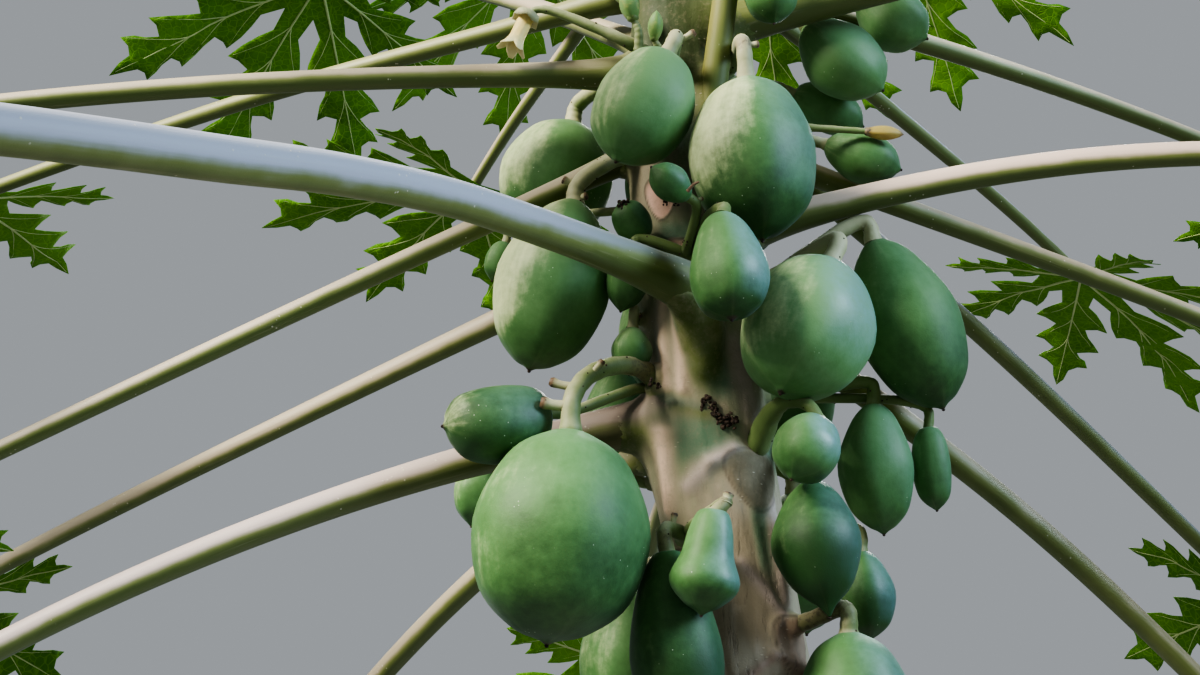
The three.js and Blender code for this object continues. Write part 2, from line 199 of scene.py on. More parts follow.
def makeStalkSkin():
    look = {
        "streak": (0.46, 0.42, 0.30), "dot": (0.60, 0.56, 0.45), "stain": (0.090, 0.062, 0.032),
        "dots": (140, 0.15, 0.05, 31, 0.58, 0.66), "roughness": 0.48, "bump": (0.35, 0.0012),
    }
    material, book, shader = newMaterial("leaf stalk skin", {
        "Specular IOR Level": 0.42, "Sheen Weight": 0.08})
    spot = book.objectSpot()
    skin = book.attribute("skin", "Vector")
    streaks = book.noise(book.stretched(skin, (160, 160, 7)), 1, 4, 0.6)
    patches = book.noise(spot, 21, 3)
    grain = book.noise(spot, 700, 2)
    lit = book.attribute("lit") + book.attribute("open") + (patches - 0.5) * 0.5 + (streaks - 0.5) * 0.3
    colour = stemColour(book, lit, book.attribute("tint", "Color"))
    colour = book.mixColour(book.step(streaks, 0.58, 0.80) * 0.22, colour, look["streak"])
    dots = book.dots(spot, *look["dots"])
    colour = book.mixColour(dots * 0.5, colour, look["dot"])
    stained = book.attribute("stain") * book.step(0.62 - lit * 0.55 + (patches - 0.5) * 0.4, 0.2, 0.8)
    colour = book.mixColour(stained, colour, look["stain"])
    height = streaks * 0.8 + grain * 0.2 + dots * 0.6 + patches
    finished(book, shader, colour, look["roughness"] + streaks * 0.12, height, *look["bump"])
    return material


def makeBark():
    look = {
        "tan": (0.355, 0.295, 0.210), "brown": (0.235, 0.195, 0.130), "grey": (0.330, 0.290, 0.245),
        "green": (0.115, 0.165, 0.075), "pale": (0.48, 0.42, 0.33), "dark": (0.040, 0.028, 0.018),
        "scar": (0.640, 0.385, 0.300), "blush": (0.860, 0.610, 0.460), "taupe": (0.470, 0.370, 0.335),
        "disc": (0.112, 0.092, 0.054), "dry": (0.200, 0.130, 0.090), "patch": (0.078, 0.160, 0.092),
        "freshAndShaded": (0.024, 0.042, 0.008), "roughness": 0.56, "bump": (0.5, 0.0020),
        "pores": (95, 0.16, 0.06, 23, 0.54, 0.64),
    }
    # How much of each marked place's colour shows, from the lowest layer to the top one
    marked = {
        "patch": 0.95, "taupe": 0.85, "blush": 0.95, "scar": 0.9, "disc": 1.0, "stem": 1.0, "dry": 0.95,
    }
    material, book, shader = newMaterial("papaya bark", {"Specular IOR Level": 0.38, "Sheen Weight": 0.08})
    spot = book.objectSpot()
    streaks = book.noise(book.stretched(spot, (60, 60, 9)), 1, 5, 0.62)
    patches = book.noise(spot, 9, 4, 0.6)
    mottle = book.noise(spot, 55, 4, 0.65)
    fine = book.noise(spot, 210, 4, 0.65)
    grain = book.noise(spot, 420, 3, 0.6)
    lit = book.attribute("lit") + (patches - 0.5) * 0.5 + (streaks - 0.5) * 0.3
    tones = {**look, "stem": stemColour(book, lit, book.attribute("tint", "Color"))}
    young = book.step(book.attribute("young"), 0, 1)
    freshAndShaded = book.step(book.attribute("young"), 1, 2)
    old = 1 - young
    light = book.step(patches * 0.6 + streaks * 0.4 + young * 0.12, 0.34, 0.66)
    colour = book.mixColour(light, look["brown"], look["tan"])
    colour = book.mixColour(book.step(streaks, 0.55, 0.75) * (0.30 + old * 0.30), colour, look["grey"])
    colour = book.mixColour(book.step(mottle, 0.58, 0.78) * 0.35, colour, look["pale"])
    greened = young * book.step(patches + streaks * 0.4, 0.58, 0.86) * 0.85
    colour = book.mixColour(greened, colour, look["green"])
    # Fresh green at the tip, darkened with painted shade of the crown
    colour = book.mixColour(freshAndShaded * (0.85 + patches * 0.3), colour, look["freshAndShaded"])
    for name, share in marked.items():
        colour = book.mixColour(book.attribute(name) * (share - 0.45 + mottle * 0.75), colour, tones[name])
    colour = book.mixColour(book.step(fine, 0.50, 0.68) * 0.22, colour, look["brown"])
    # A dark line round each scar and the disc: partly their own edge, partly painted shadow along it
    colour = book.mixColour(book.attribute("rim") * 0.75, colour, look["dark"])
    pores = book.dots(book.stretched(spot, (1, 1, 2.4)), *look["pores"])
    colour = book.mixColour(pores * 0.5, colour, look["pale"])
    cracks = book.step(0.44 - book.noise(book.stretched(spot, (150, 150, 26)), 1, 4, 0.7), 0, 0.09) * old
    colour = book.mixColour(cracks * 0.55, colour, look["dark"])
    height = patches + streaks * (0.5 + old * 0.8) + mottle * 0.8 + grain * 0.3 + pores * 0.5 - cracks * 0.9
    roughness = look["roughness"] + mottle * 0.24 + book.attribute("disc") * 0.15
    finished(book, shader, colour, roughness, height, *look["bump"])
    return material


def makeFruitStalkSkin():
    look = {
        "green": (0.098, 0.150, 0.040), "cream": (0.38, 0.37, 0.22), "brown": (0.120, 0.070, 0.034),
        "dark": (0.040, 0.025, 0.016), "roughness": 0.50, "bump": (0.4, 0.0014),
    }
    material, book, shader = newMaterial("fruit stalk skin", {
        "Specular IOR Level": 0.42, "Sheen Weight": 0.08})
    spot = book.objectSpot()
    patches = book.noise(spot, 42, 3)
    mottle = book.noise(spot, 240, 3, 0.65)
    # The cream is partly the stalk's own and partly painted light on the side that faces the sky
    pale = book.attribute("pale") + (patches - 0.5) * 0.7 + book.attribute("lit") * 0.35
    colour = book.mixColour(book.step(pale, 0.15, 0.95), look["green"], look["cream"])
    flecks = book.step(mottle, 0.62, 0.70) * book.step(patches, 0.50, 0.62)
    colour = book.mixColour(flecks * 0.6, colour, look["brown"])
    cut = book.attribute("cut")
    colour = book.mixColour(cut, colour, look["brown"])
    colour = book.mixColour(cut * book.step(mottle, 0.5, 0.6), colour, look["dark"])
    height = patches + mottle * 0.7
    finished(book, shader, colour, look["roughness"] + mottle * 0.2, height, *look["bump"])
    return material


def makeBladeSkin(name, dark, light):
    look = {"roughness": 0.66, "bump": (0.35, 0.002), "netTint": (1.9, 1.5, 1.7)}
    material, book, shader = newMaterial(name, {"Specular IOR Level": 0.14})
    spot = book.attribute("flat", "Vector")
    patches = book.noise(book.objectSpot(), 7, 3)
    mottle = book.noise(spot, 24, 4, 0.6)
    net = book.add("ShaderNodeTexVoronoi", {"feature": "DISTANCE_TO_EDGE"}, {"Vector": spot, "Scale": 34},
                   output="Distance")
    lines = book.step(0.09 - net, 0, 0.07)
    lift = patches * 0.6 + mottle * 0.5 + book.attribute("tone") * 0.3
    colour = book.mixColour(book.step(lift, 0.40, 0.88), dark, light)
    paler = tuple(value * share for value, share in zip(light, look["netTint"]))
    colour = book.mixColour(lines * 0.35, colour, paler)
    height = mottle * 0.5 - lines * 0.7
    finished(book, shader, colour, look["roughness"] + mottle * 0.16, height, *look["bump"])
    return material


def makeVeinSkin():
    look = {
        "dark": (0.26, 0.36, 0.12), "light": (0.44, 0.50, 0.24), "roughness": 0.45, "bump": (0.3, 0.001),
    }
    material, book, shader = newMaterial("leaf vein", {"Specular IOR Level": 0.40})
    mottle = book.noise(book.objectSpot(), 160, 3)
    colour = book.mixColour(mottle, look["dark"], look["light"])
    finished(book, shader, colour, look["roughness"] + mottle * 0.15, mottle, *look["bump"])
    return material


def makeDrySkin():
    look = {
        "dark": (0.018, 0.012, 0.010), "light": (0.085, 0.054, 0.038), "roughness": 0.7, "bump": (0.7, 0.003),
    }
    material, book, shader = newMaterial("dried stub", {"Specular IOR Level": 0.30})
    mottle = book.noise(book.objectSpot(), 260, 4, 0.7)
    colour = book.mixColour(book.step(mottle, 0.35, 0.7), look["dark"], look["light"])
    finished(book, shader, colour, look["roughness"] + mottle * 0.2, mottle, *look["bump"])
    return material


# Flowers: ripe runs from -1, a green bud, over 0, cream petals, to 1, withered and yellow
def makePetalSkin():
    look = {
        "cream": (0.74, 0.67, 0.36), "withered": (0.30, 0.225, 0.055), "green": (0.115, 0.215, 0.060),
        "fleck": (0.42, 0.36, 0.10), "throat": (0.72, 0.50, 0.10), "ends": (0.085, 0.050, 0.022),
        "roughness": 0.5, "bump": (0.35, 0.001),
    }
    material, book, shader = newMaterial("petal", {"Sheen Weight": 0.1, "Specular IOR Level": 0.35})
    mottle = book.noise(book.objectSpot(), 190, 3)
    ripe = book.attribute("ripe")
    part = book.attribute("part")
    colour = book.mixColour(book.step(ripe, 0, 0.6), look["cream"], look["withered"])
    colour = book.mixColour(book.step(0 - ripe, 0, 0.7), colour, look["green"])
    colour = book.mixColour(book.step(mottle, 0.5, 0.8) * 0.4, colour, look["fleck"])
    throat = book.step(0.85 - part, 0, 0.35) * book.step(ripe, -0.1, 0.1) * book.step(0.6 - ripe, 0, 0.3)
    colour = book.mixColour(throat * 0.55, colour, look["throat"])
    ends = (book.step(part, 0.80, 1) + book.step(0.22 - part, 0, 0.16)) * book.step(ripe, 0.6, 1)
    colour = book.mixColour(ends * 0.9, colour, look["ends"])
    finished(book, shader, colour, look["roughness"] + mottle * 0.15, mottle, *look["bump"])
    return material


print("scene: materials")
skins = {
    "fruit": makeFruitSkin(), "stalk": makeStalkSkin(), "bark": makeBark(),
    "fruitStalk": makeFruitStalkSkin(),
    "bladeTop": makeBladeSkin("leaf upper side", (0.026, 0.088, 0.006), (0.070, 0.180, 0.012)),
    "bladeUnder": makeBladeSkin("leaf underside", (0.034, 0.118, 0.004), (0.080, 0.210, 0.012)),
    "vein": makeVeinSkin(), "dry": makeDrySkin(), "petal": makePetalSkin(),
}


def newObject(name, mesh):
    made = bpy.data.objects.new(name, mesh)
    bpy.context.scene.collection.objects.link(made)
    return made


def setAttribute(mesh, name, kind, values):
    key = {"FLOAT": "value", "FLOAT_VECTOR": "vector", "FLOAT_COLOR": "color"}[kind]
    layer = mesh.attributes.new(name, kind, "POINT")
    layer.data.foreach_set(key, np.asarray(values, np.float32).ravel())


def meshOf(name, points, faces=(), edges=(), attributes=None):
    mesh = bpy.data.meshes.new(name)
    mesh.from_pydata([tuple(p) for p in points], [tuple(e) for e in edges], [tuple(f) for f in faces])
    for label, (kind, values) in (attributes or {}).items():
        setAttribute(mesh, label, kind, values)
    mesh.update()
    return mesh


# The faces of a closed tube of rings: around is how many points each ring has
def tubeFaces(rings, around):
    faces = []
    for ring in range(rings - 1):
        for side in range(around):
            after = (side + 1) % around
            faces.append((ring * around + side, ring * around + after,
                          (ring + 1) * around + after, (ring + 1) * around + side))
    return faces


# The same with both its ends closed
def closedTube(rings, around):
    last = (rings - 1) * around
    return tubeFaces(rings, around) + [tuple(range(around))[::-1], tuple(last + k for k in range(around))]


def shadeSmooth(mesh):
    mesh.polygons.foreach_set("use_smooth", np.ones(len(mesh.polygons), bool))


# Merges the points at each pole and turns the faces outwards
def tidied(name, mesh, material):
    samePlace = 1e-5  # metres
    work = bmesh.new()
    work.from_mesh(mesh)
    bmesh.ops.remove_doubles(work, verts=work.verts, dist=samePlace)
    bmesh.ops.recalc_face_normals(work, faces=work.faces)
    work.to_mesh(mesh)
    work.free()
    shadeSmooth(mesh)
    mesh.materials.append(material)
    return newObject(name, mesh)


# How far each point of a piece faces a direction, from -1 to 1
def facingOf(made, direction):
    normals = np.empty(len(made.data.vertices) * 3)
    made.data.vertices.foreach_get("normal", normals)
    return normals.reshape(-1, 3) @ np.array(Vector(direction).normalized())


# Notes on each point how far it faces the sky, for the skins that paint shade underneath and light on top
def noteLight(made):
    setAttribute(made.data, "lit", "FLOAT", facingOf(made, lightSide))


# Runs a Geometry Nodes tree on a source mesh and returns the result as a plain mesh object
def grown(name, source, tree, values):
    modifier = source.modifiers.new("grow", "NODES")
    modifier.node_group = tree
    names = {item.name: item.identifier for item in tree.interface.items_tree if item.in_out == "INPUT"}
    for label, value in values.items():
        modifier[names[label]] = value
    depsgraph = bpy.context.evaluated_depsgraph_get()
    mesh = bpy.data.meshes.new_from_object(source.evaluated_get(depsgraph), preserve_all_data_layers=True,
                                           depsgraph=depsgraph)
    mesh.name = name
    source.modifiers.remove(modifier)
    bpy.data.objects.remove(source)
    shadeSmooth(mesh)
    return newObject(name, mesh)


def newTree(name, inputs):
    tree = bpy.data.node_groups.new(name, "GeometryNodeTree")
    tree.interface.new_socket("Geometry", in_out="INPUT", socket_type="NodeSocketGeometry")
    tree.interface.new_socket("Geometry", in_out="OUTPUT", socket_type="NodeSocketGeometry")
    for label, (kind, value) in inputs.items():
        made = tree.interface.new_socket(label, in_out="INPUT", socket_type=kind)
        if value is not None:
            made.default_value = value
    book = Book(tree)
    entry = tree.nodes.new("NodeGroupInput")
    return book, {socket.name: Wire(book, socket) for socket in entry.outputs if socket.name}


def endTree(book, shape, material):
    solid = book.add("GeometryNodeRealizeInstances", {}, {"Geometry": shape})
    dressed = book.add("GeometryNodeSetMaterial", {}, {"Geometry": solid, "Material": material})
    leave = book.tree.nodes.new("NodeGroupOutput")
    book.feed(leave.inputs["Geometry"], dressed)
    return book.tree


def namedField(book, name, kind="FLOAT"):
    return book.add("GeometryNodeInputNamedAttribute", {"data_type": kind}, {"Name": name})


# Sweeps a round section along each path of the source mesh, as thick as its points say
def makeSweepTree(name, normals):
    book, given = newTree(name, {
        "Sides": ("NodeSocketInt", 12), "Material": ("NodeSocketMaterial", None)})
    line = book.add("GeometryNodeMeshToCurve", {}, {"Mesh": given["Geometry"]})
    line = book.add("GeometryNodeSetCurveNormal", {"mode": normals}, {"Curve": line})
    ring = book.add("GeometryNodeCurvePrimitiveCircle", {}, {"Resolution": given["Sides"], "Radius": 1.0})
    ring = book.add("GeometryNodeStoreNamedAttribute", {"data_type": "FLOAT_VECTOR", "domain": "POINT"}, {
        "Geometry": ring, "Name": "round", "Value": book.add("GeometryNodeInputPosition")})
    thick = namedField(book, "thick")
    tube = book.add("GeometryNodeCurveToMesh", {}, {
        "Curve": line, "Profile Curve": ring, "Scale": thick, "Fill Caps": True})
    across = book.add("ShaderNodeVectorMath", {"operation": "SCALE"}, {
        0: namedField(book, "round", "FLOAT_VECTOR"), "Scale": thick})
    onward = book.add("ShaderNodeCombineXYZ", {}, {2: namedField(book, "along")})
    skin = book.add("ShaderNodeVectorMath", {"operation": "ADD"}, {0: across, 1: onward})
    tube = book.add("GeometryNodeStoreNamedAttribute", {"data_type": "FLOAT_VECTOR", "domain": "POINT"}, {
        "Geometry": tube, "Name": "skin", "Value": skin})
    return endTree(book, tube, given["Material"])


# Puts small lumps on a surface, turned to it at random: one seed, one density, one size range
def makeScatterTree():
    book, given = newTree("scatter knobs", {
        "Lump": ("NodeSocketObject", None), "Density": ("NodeSocketFloat", 900.0),
        "Smallest": ("NodeSocketFloat", 0.6), "Largest": ("NodeSocketFloat", 1.3),
        "Seed": ("NodeSocketInt", 3), "Material": ("NodeSocketMaterial", None)})
    spots = book.add("GeometryNodeDistributePointsOnFaces", {}, {
        "Mesh": given["Geometry"], "Density": given["Density"], "Seed": given["Seed"]}, output="Points")
    lump = book.add("GeometryNodeObjectInfo", {}, {"Object": given["Lump"]}, output="Geometry")
    size = book.add("FunctionNodeRandomValue", {"data_type": "FLOAT"}, {
        2: given["Smallest"], 3: given["Largest"], "Seed": given["Seed"]}, output=1)
    knobs = book.add("GeometryNodeInstanceOnPoints", {}, {
        "Points": spots, "Instance": lump, "Rotation": spots.beside("Rotation"), "Scale": size})
    return endTree(book, knobs, given["Material"])


# Puts a piece on each point of the source, turned as the point says
def onPoints(book, given, size):
    piece = book.add("GeometryNodeObjectInfo", {}, {"Object": given["Piece"]}, output="Geometry")
    facing = book.add("FunctionNodeEulerToRotation", {}, {0: namedField(book, "facing", "FLOAT_VECTOR")})
    return book.add("GeometryNodeInstanceOnPoints", {}, {
        "Points": given["Geometry"], "Instance": piece, "Rotation": facing, "Scale": size})


def makePlantingTree():
    book, given = newTree("plant pieces", {
        "Piece": ("NodeSocketObject", None), "Material": ("NodeSocketMaterial", None)})
    return endTree(book, onPoints(book, given, namedField(book, "size", "FLOAT_VECTOR")), given["Material"])


# Plants the flat blade or its veins on each stalk's end, then bends them off their plane
def makeBladeTree(name, veins):
    book, given = newTree(name, {
        "Piece": ("NodeSocketObject", None), "Droop": ("NodeSocketFloat", 0.18),
        "Ruffle": ("NodeSocketFloat", 0.05), "Ruffle scale": ("NodeSocketFloat", 5.0),
        "Fold": ("NodeSocketFloat", 0.05), "Drop": ("NodeSocketFloat", 0.0),
        "Sides": ("NodeSocketInt", 5), "Material": ("NodeSocketMaterial", None)})
    planted = onPoints(book, given, namedField(book, "size"))
    shape = book.add("GeometryNodeRealizeInstances", {}, {"Geometry": planted})
    flat = namedField(book, "flat", "FLOAT_VECTOR")
    reach = book.add("ShaderNodeVectorMath", {"operation": "LENGTH"}, {0: flat}, output="Value")
    shifted = book.add("ShaderNodeVectorMath", {"operation": "ADD"}, {
        0: flat, 1: namedField(book, "shift", "FLOAT_VECTOR")})
    wave = book.add("ShaderNodeTexNoise", {}, {
        "Vector": shifted, "Scale": given["Ruffle scale"], "Detail": 1.0})
    lift = (wave - 0.5) * given["Ruffle"] * reach * 2 - given["Droop"] * reach * reach
    lift = lift + given["Fold"] * namedField(book, "edge") * reach - given["Drop"]
    offset = book.add("ShaderNodeVectorMath", {"operation": "SCALE"}, {
        0: namedField(book, "upward", "FLOAT_VECTOR"), "Scale": lift * namedField(book, "size")})
    shape = book.add("GeometryNodeSetPosition", {}, {"Geometry": shape, "Offset": offset})
    if veins:
        line = book.add("GeometryNodeMeshToCurve", {}, {"Mesh": shape})
        ring = book.add("GeometryNodeCurvePrimitiveCircle", {}, {
            "Resolution": given["Sides"], "Radius": 1.0})
        shape = book.add("GeometryNodeCurveToMesh", {}, {
            "Curve": line, "Profile Curve": ring, "Fill Caps": True,
            "Scale": namedField(book, "thick") * namedField(book, "size")})
    return endTree(book, shape, given["Material"])


levelSweep = makeSweepTree("sweep leaf stalks", "Z_UP")
freeSweep = makeSweepTree("sweep twigs", "MINIMUM_TWIST")
scatterTree = makeScatterTree()
plantingTree = makePlantingTree()
bladeTree = makeBladeTree("plant blades", False)
veinTree = makeBladeTree("plant veins", True)


# Joins paths into one mesh of edges: each path is a dictionary of points, thick and more values
def pathObject(name, paths):
    points, edges = [], []
    values = {key: [] for key in paths[0] if key != "points"}
    along = []
    for path in paths:
        first = len(points)
        points.extend(path["points"].tolist())
        edges.extend((first + k, first + k + 1) for k in range(len(path["points"]) - 1))
        along.extend(runOf(path["points"]) + 0.37 * first)  # no two paths start at one place of the pattern
        for key, kept in values.items():
            kept.extend(path[key])
    values["along"] = along
    attributes = {key: ("FLOAT_COLOR" if key == "tint" else "FLOAT", kept) for key, kept in values.items()}
    return newObject(name + "_paths", meshOf(name, points, edges=edges, attributes=attributes))


# Turns rows of a plan into dictionaries with its column names
def listed(plan, rows):
    return [dict(zip(plan["columns"], row)) for row in rows]


trunkPlan = {
    "height": 2660, "leanReach": 305, "leanHeight": 2500,
    "footRadius": 80, "neckHeight": 2100, "neckRadius": 57, "tipRadius": 30, "tipPower": 1.3,
    "flareReach": 27, "flareHeight": 120, "flareRidges": 5, "flareRidgeDepth": 0.35,
    "sides": 176, "fineFrom": 1740, "fineStep": 2.4, "coarseStep": 11, "roundTip": 30,
    # Where the bark turns from old to young, then to fresh green darkened with painted shade under the crown:
    # from which height, and over how far
    "young": (1600, 480), "freshAndShaded": (2170, 260),
    # Swollen joints under the stalks, and how finely and deep the bark is joined to a stalk
    "cushionDrop": 62, "cushionRise": 16, "march": 1.5, "sunk": 0.8, "discHeight": 2.8,
    "swellings": 1.3, "furrows": (13, 19, 29), "furrowDepth": 0.30,
}


def trunkAxis(height):
    swing = 1 - np.cos(np.pi * np.minimum(height, trunkPlan["leanHeight"]) / trunkPlan["leanHeight"])
    return -trunkPlan["leanReach"] * swing / 2


def trunkRadius(height):
    plan = trunkPlan
    lower = plan["footRadius"] + (plan["neckRadius"] - plan["footRadius"]) * height / plan["neckHeight"]
    share = np.clip((height - plan["neckHeight"]) / (plan["height"] - plan["neckHeight"]), 0, 1)
    upper = plan["neckRadius"] + (plan["tipRadius"] - plan["neckRadius"]) * share ** plan["tipPower"]
    return np.where(height < plan["neckHeight"], lower, upper)


def onAxis(height):
    return np.array([float(trunkAxis(height)), 0, height])


def heading(turn):
    return np.array([math.cos(math.radians(turn)), math.sin(math.radians(turn)), 0])


def runOf(line):
    return np.concatenate([[0], np.cumsum(np.linalg.norm(np.diff(line, axis=0), axis=1))])


# A slow random sway that is nothing at both ends
def smoothWander(count, size):
    t = np.linspace(0, 1, count)
    spread = np.zeros((count, 3))
    for wave in (1, 2, 3, 4):
        spread += np.outer(np.sin(wave * np.pi * t), rng.normal(0, size / wave, 3))
    return spread


# A smooth line through a few knots, whose loops stay tight
def catmull(knots, count):
    knots = [np.asarray(k, float) for k in knots]
    ends = [2 * knots[0] - knots[1], *knots, 2 * knots[-1] - knots[-2]]
    pieces = len(knots) - 1
    points = []
    for t in np.linspace(0, pieces, count):
        i = min(int(t), pieces - 1)
        u = t - i
        a, b, c, d = ends[i:i + 4]
        s0, s1, s2 = (max(np.linalg.norm(q - p) ** 0.5, 1e-4) for p, q in ((a, b), (b, c), (c, d)))
        m1 = ((b - a) / s0 - (c - a) / (s0 + s1) + (c - b) / s1) * s1
        m2 = ((c - b) / s1 - (d - b) / (s1 + s2) + (d - c) / s2) * s1
        points.append((2 * u ** 3 - 3 * u ** 2 + 1) * b + (u ** 3 - 2 * u ** 2 + u) * m1
                      + (3 * u ** 2 - 2 * u ** 3) * c + (u ** 3 - u ** 2) * m2)
    return np.array(points)


# Upper sides of the leaf stalks: most are a pinkish beige, a few lie in bluish light or are stained
stalkTints = {
    "beige": (0.37, 0.315, 0.225), "pale blue": (0.31, 0.325, 0.38), "yellowish": (0.18, 0.175, 0.036),
    "pinkish": (0.56, 0.43, 0.35), "olive": (0.24, 0.24, 0.11), "purple": (0.40, 0.33, 0.30),
}
stalkPlan = {
    "steps": 64, "sides": 20, "taper": 0.25, "crowding": 1.35,  # points crowd where the stalk flares
    "wander": 1.6, "hugging": 95, "buried": 0.35, "buriedMost": 0.1, "collar": 0.12, "collarLength": 24,
    "blend": 0.46, "tintSpread": 0.06,
    "tint": {2: "pale blue", 12: "pale blue", 15: "pale blue", 9: "yellowish", 13: "pinkish", 6: "purple",
             3: "olive", 10: "olive", "usual": "beige"},
    # By leaf: how much more of its stalk takes the light, and how far its swollen root reaches
    "litMore": {2: 0.80, 13: 0.12, 6: 0.1, 5: 0.3, "usual": 0},
    "flare": {2: 85, 5: 80, 6: 120, 9: 110, 10: 150, "usual": 52},
    # How far the trunk swells below a leaf, and the colour where both meet, partly their own and partly
    # painted shade where fruit and crown shade the joint
    "cushion": {2: 0.08, 6: 0.36, 10: 0.36, "usual": 0.17},
    "jointTintAndShade": {2: (0.105, 0.130, 0.085), 6: (0.215, 0.165, 0.135), 9: (0.100, 0.105, 0.014),
                  10: (0.105, 0.120, 0.022), "usual": (0.165, 0.175, 0.070)},
    # That colour's reach along the stalk, in millimetres or else as a share of the flare
    "tintReach": {2: 170}, "tintShare": 1.1,
    "stain": {6: (0.7, 190), "usual": (0.15, 30)},  # how brown a stalk is by the trunk, and how far out
}

# Each leaf: where its stalk starts and how it runs, as in the part's source
leafPlan = {
    "columns": ("turn", "height", "rise", "reach", "sag", "root", "stalk", "blade", "dip"),
    "rows": [
        (185, 2385, -1, 900, 80, 42, 25, 385, 28),
        (240, 2100, 10, 1060, 370, 48, 30, 350, 45),
        (160, 2490, -3, 930, 78, 38, 23, 375, 22),
        (182, 2318, -26.5, 800, 10, 32, 23, 350, 30),
        (160, 2208, -19, 940, 25, 38, 26, 365, 55),
        (190, 2020, -8, 820, 230, 50, 30, 350, 62),
        (120, 2590, -16, 500, 26, 30, 19, 340, 2),
        (145, 2010, -14, 620, 261, 40, 28, 340, 70),
        (295, 2180, 72, 315, 70, 36, 26, 340, 30),
        (350, 2428, 11, 880, 75, 54, 29, 385, 25),
        (20, 2500, -3, 900, 95, 36, 24, 375, 30),
        (40, 2535, -11, 740, 80, 31, 20, 330, 15),
        (350, 2192, 18, 940, 325, 46, 28, 365, 45),
        (13, 2326, -15, 900, 25, 38, 24, 365, 45),
        (25, 2384, -31, 760, 60, 36, 24, 340, 62),
        (12, 2160, -29, 600, 130, 40, 28, 330, 72),
        (258, 2550, 48, 600, 130, 34, 21, 350, 32),
        (315, 2520, 30, 740, 150, 36, 22, 365, 18),
        (216, 2490, 22, 570, 110, 34, 22, 320, 50),
        (76, 2476, 38, 720, 140, 36, 23, 365, 22),
        (104, 2436, 40, 780, 150, 36, 24, 365, 24),
        (60, 2415, 42, 780, 150, 36, 24, 365, 26),
        (130, 2400, 36, 780, 150, 36, 24, 365, 24),
        (98, 2010, -5, 600, 150, 38, 26, 330, 60),
        (5, 2600, 58, 300, 40, 25, 16, 250, 28),
        (175, 2620, 62, 240, 20, 23, 14, 230, 30),
    ],
    # A stalk that runs up the trunk before it leaves it: points, half its thickness, how deep it is sunk
    "ways": {
        2: [
            ((-283, -46, 2033), 8, 3), ((-284, -56, 2062), 15, 3), ((-287, -66, 2090), 21, 2.5),
            ((-299, -88, 2121), 24, 0), ((-338, -125, 2131), 20.5, 0), ((-384, -180, 2133), 17.5, 0),
            ((-436, -262, 2126), 16, 0), ((-500, -370, 2112), 15, 0), ((-565, -483, 2087), 15, 0),
            ((-618, -575, 2061), 15, 0), ((-662, -651, 2040), 14.5, 0), ((-706, -727, 2018), 14, 0),
            ((-754, -810, 1990), 13.2, 0), ((-794, -880, 1950), 12.2, 0), ((-816, -918, 1917), 11.3, 0),
        ],
    },
    # Young leaves that crowd the tip, in the same columns
    "young": [
        (30, 2606, 66, 190, 16, 17, 11, 170, 20),
        (118, 2628, 70, 150, 10, 15, 9, 150, 5),
        (232, 2618, 68, 170, 14, 16, 10, 160, 12),
        (300, 2632, 72, 130, 8, 14, 8, 135, 0),
        (72, 2644, 76, 84, 4, 11, 6, 105, -25),
        (200, 2646, 78, 70, 2, 10, 6, 95, -32),
        (340, 2650, 80, 56, 0, 9, 5, 80, -40),
    ],
}
treeLeaves = listed(leafPlan, leafPlan["rows"])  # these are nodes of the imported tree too
allLeaves = treeLeaves + listed(leafPlan, leafPlan["young"])
for number, leaf in enumerate(allLeaves, 1):
    leaf["number"] = number
    leaf["way"] = leafPlan["ways"].get(number)
    for key in ("flare", "cushion", "jointTintAndShade", "tint", "litMore", "stain"):
        leaf[key] = stalkPlan[key].get(number, stalkPlan[key]["usual"])
    leaf["tintReach"] = stalkPlan["tintReach"].get(number, leaf["flare"] * stalkPlan["tintShare"])
for leaf in treeLeaves:
    leaf["node"] = f"leaf_{leaf['number']:02d}"


# Points of a leaf's stalk from the trunk's axis to its blade, in millimetres
def stalkLine(leaf, count):
    share = np.linspace(0, 1, count)[:, None]
    slope = math.tan(math.radians(leaf["rise"]))
    rise = slope * leaf["reach"] * share - leaf["sag"] * share ** 2
    level = leaf["reach"] * share
    return onAxis(leaf["height"]) + level * heading(leaf["turn"]) + rise * np.array([0, 0, 1])


# Half the thickness of a leaf's stalk at each distance along it
def stalkRadius(leaf, along, total):
    beyond = np.maximum(0, along - float(trunkRadius(leaf["height"])))
    wide = leaf["stalk"] * (1 - stalkPlan["taper"] * along / total)
    wide = wide + (leaf["root"] - leaf["stalk"]) * np.exp(-beyond / leaf["flare"])
    return wide / 2 * (1 + stalkPlan["collar"] * np.exp(-beyond / stalkPlan["collarLength"]))


# Points spread along a line, closer together near its start: the points, and how far along each lies
def spreadAlong(line, start):
    lengths = runOf(line[:, :3])
    share = np.linspace(0, 1, stalkPlan["steps"]) ** stalkPlan["crowding"]
    along = start + (lengths[-1] - start) * share
    return np.stack([np.interp(along, lengths, column) for column in line.T], axis=1), along


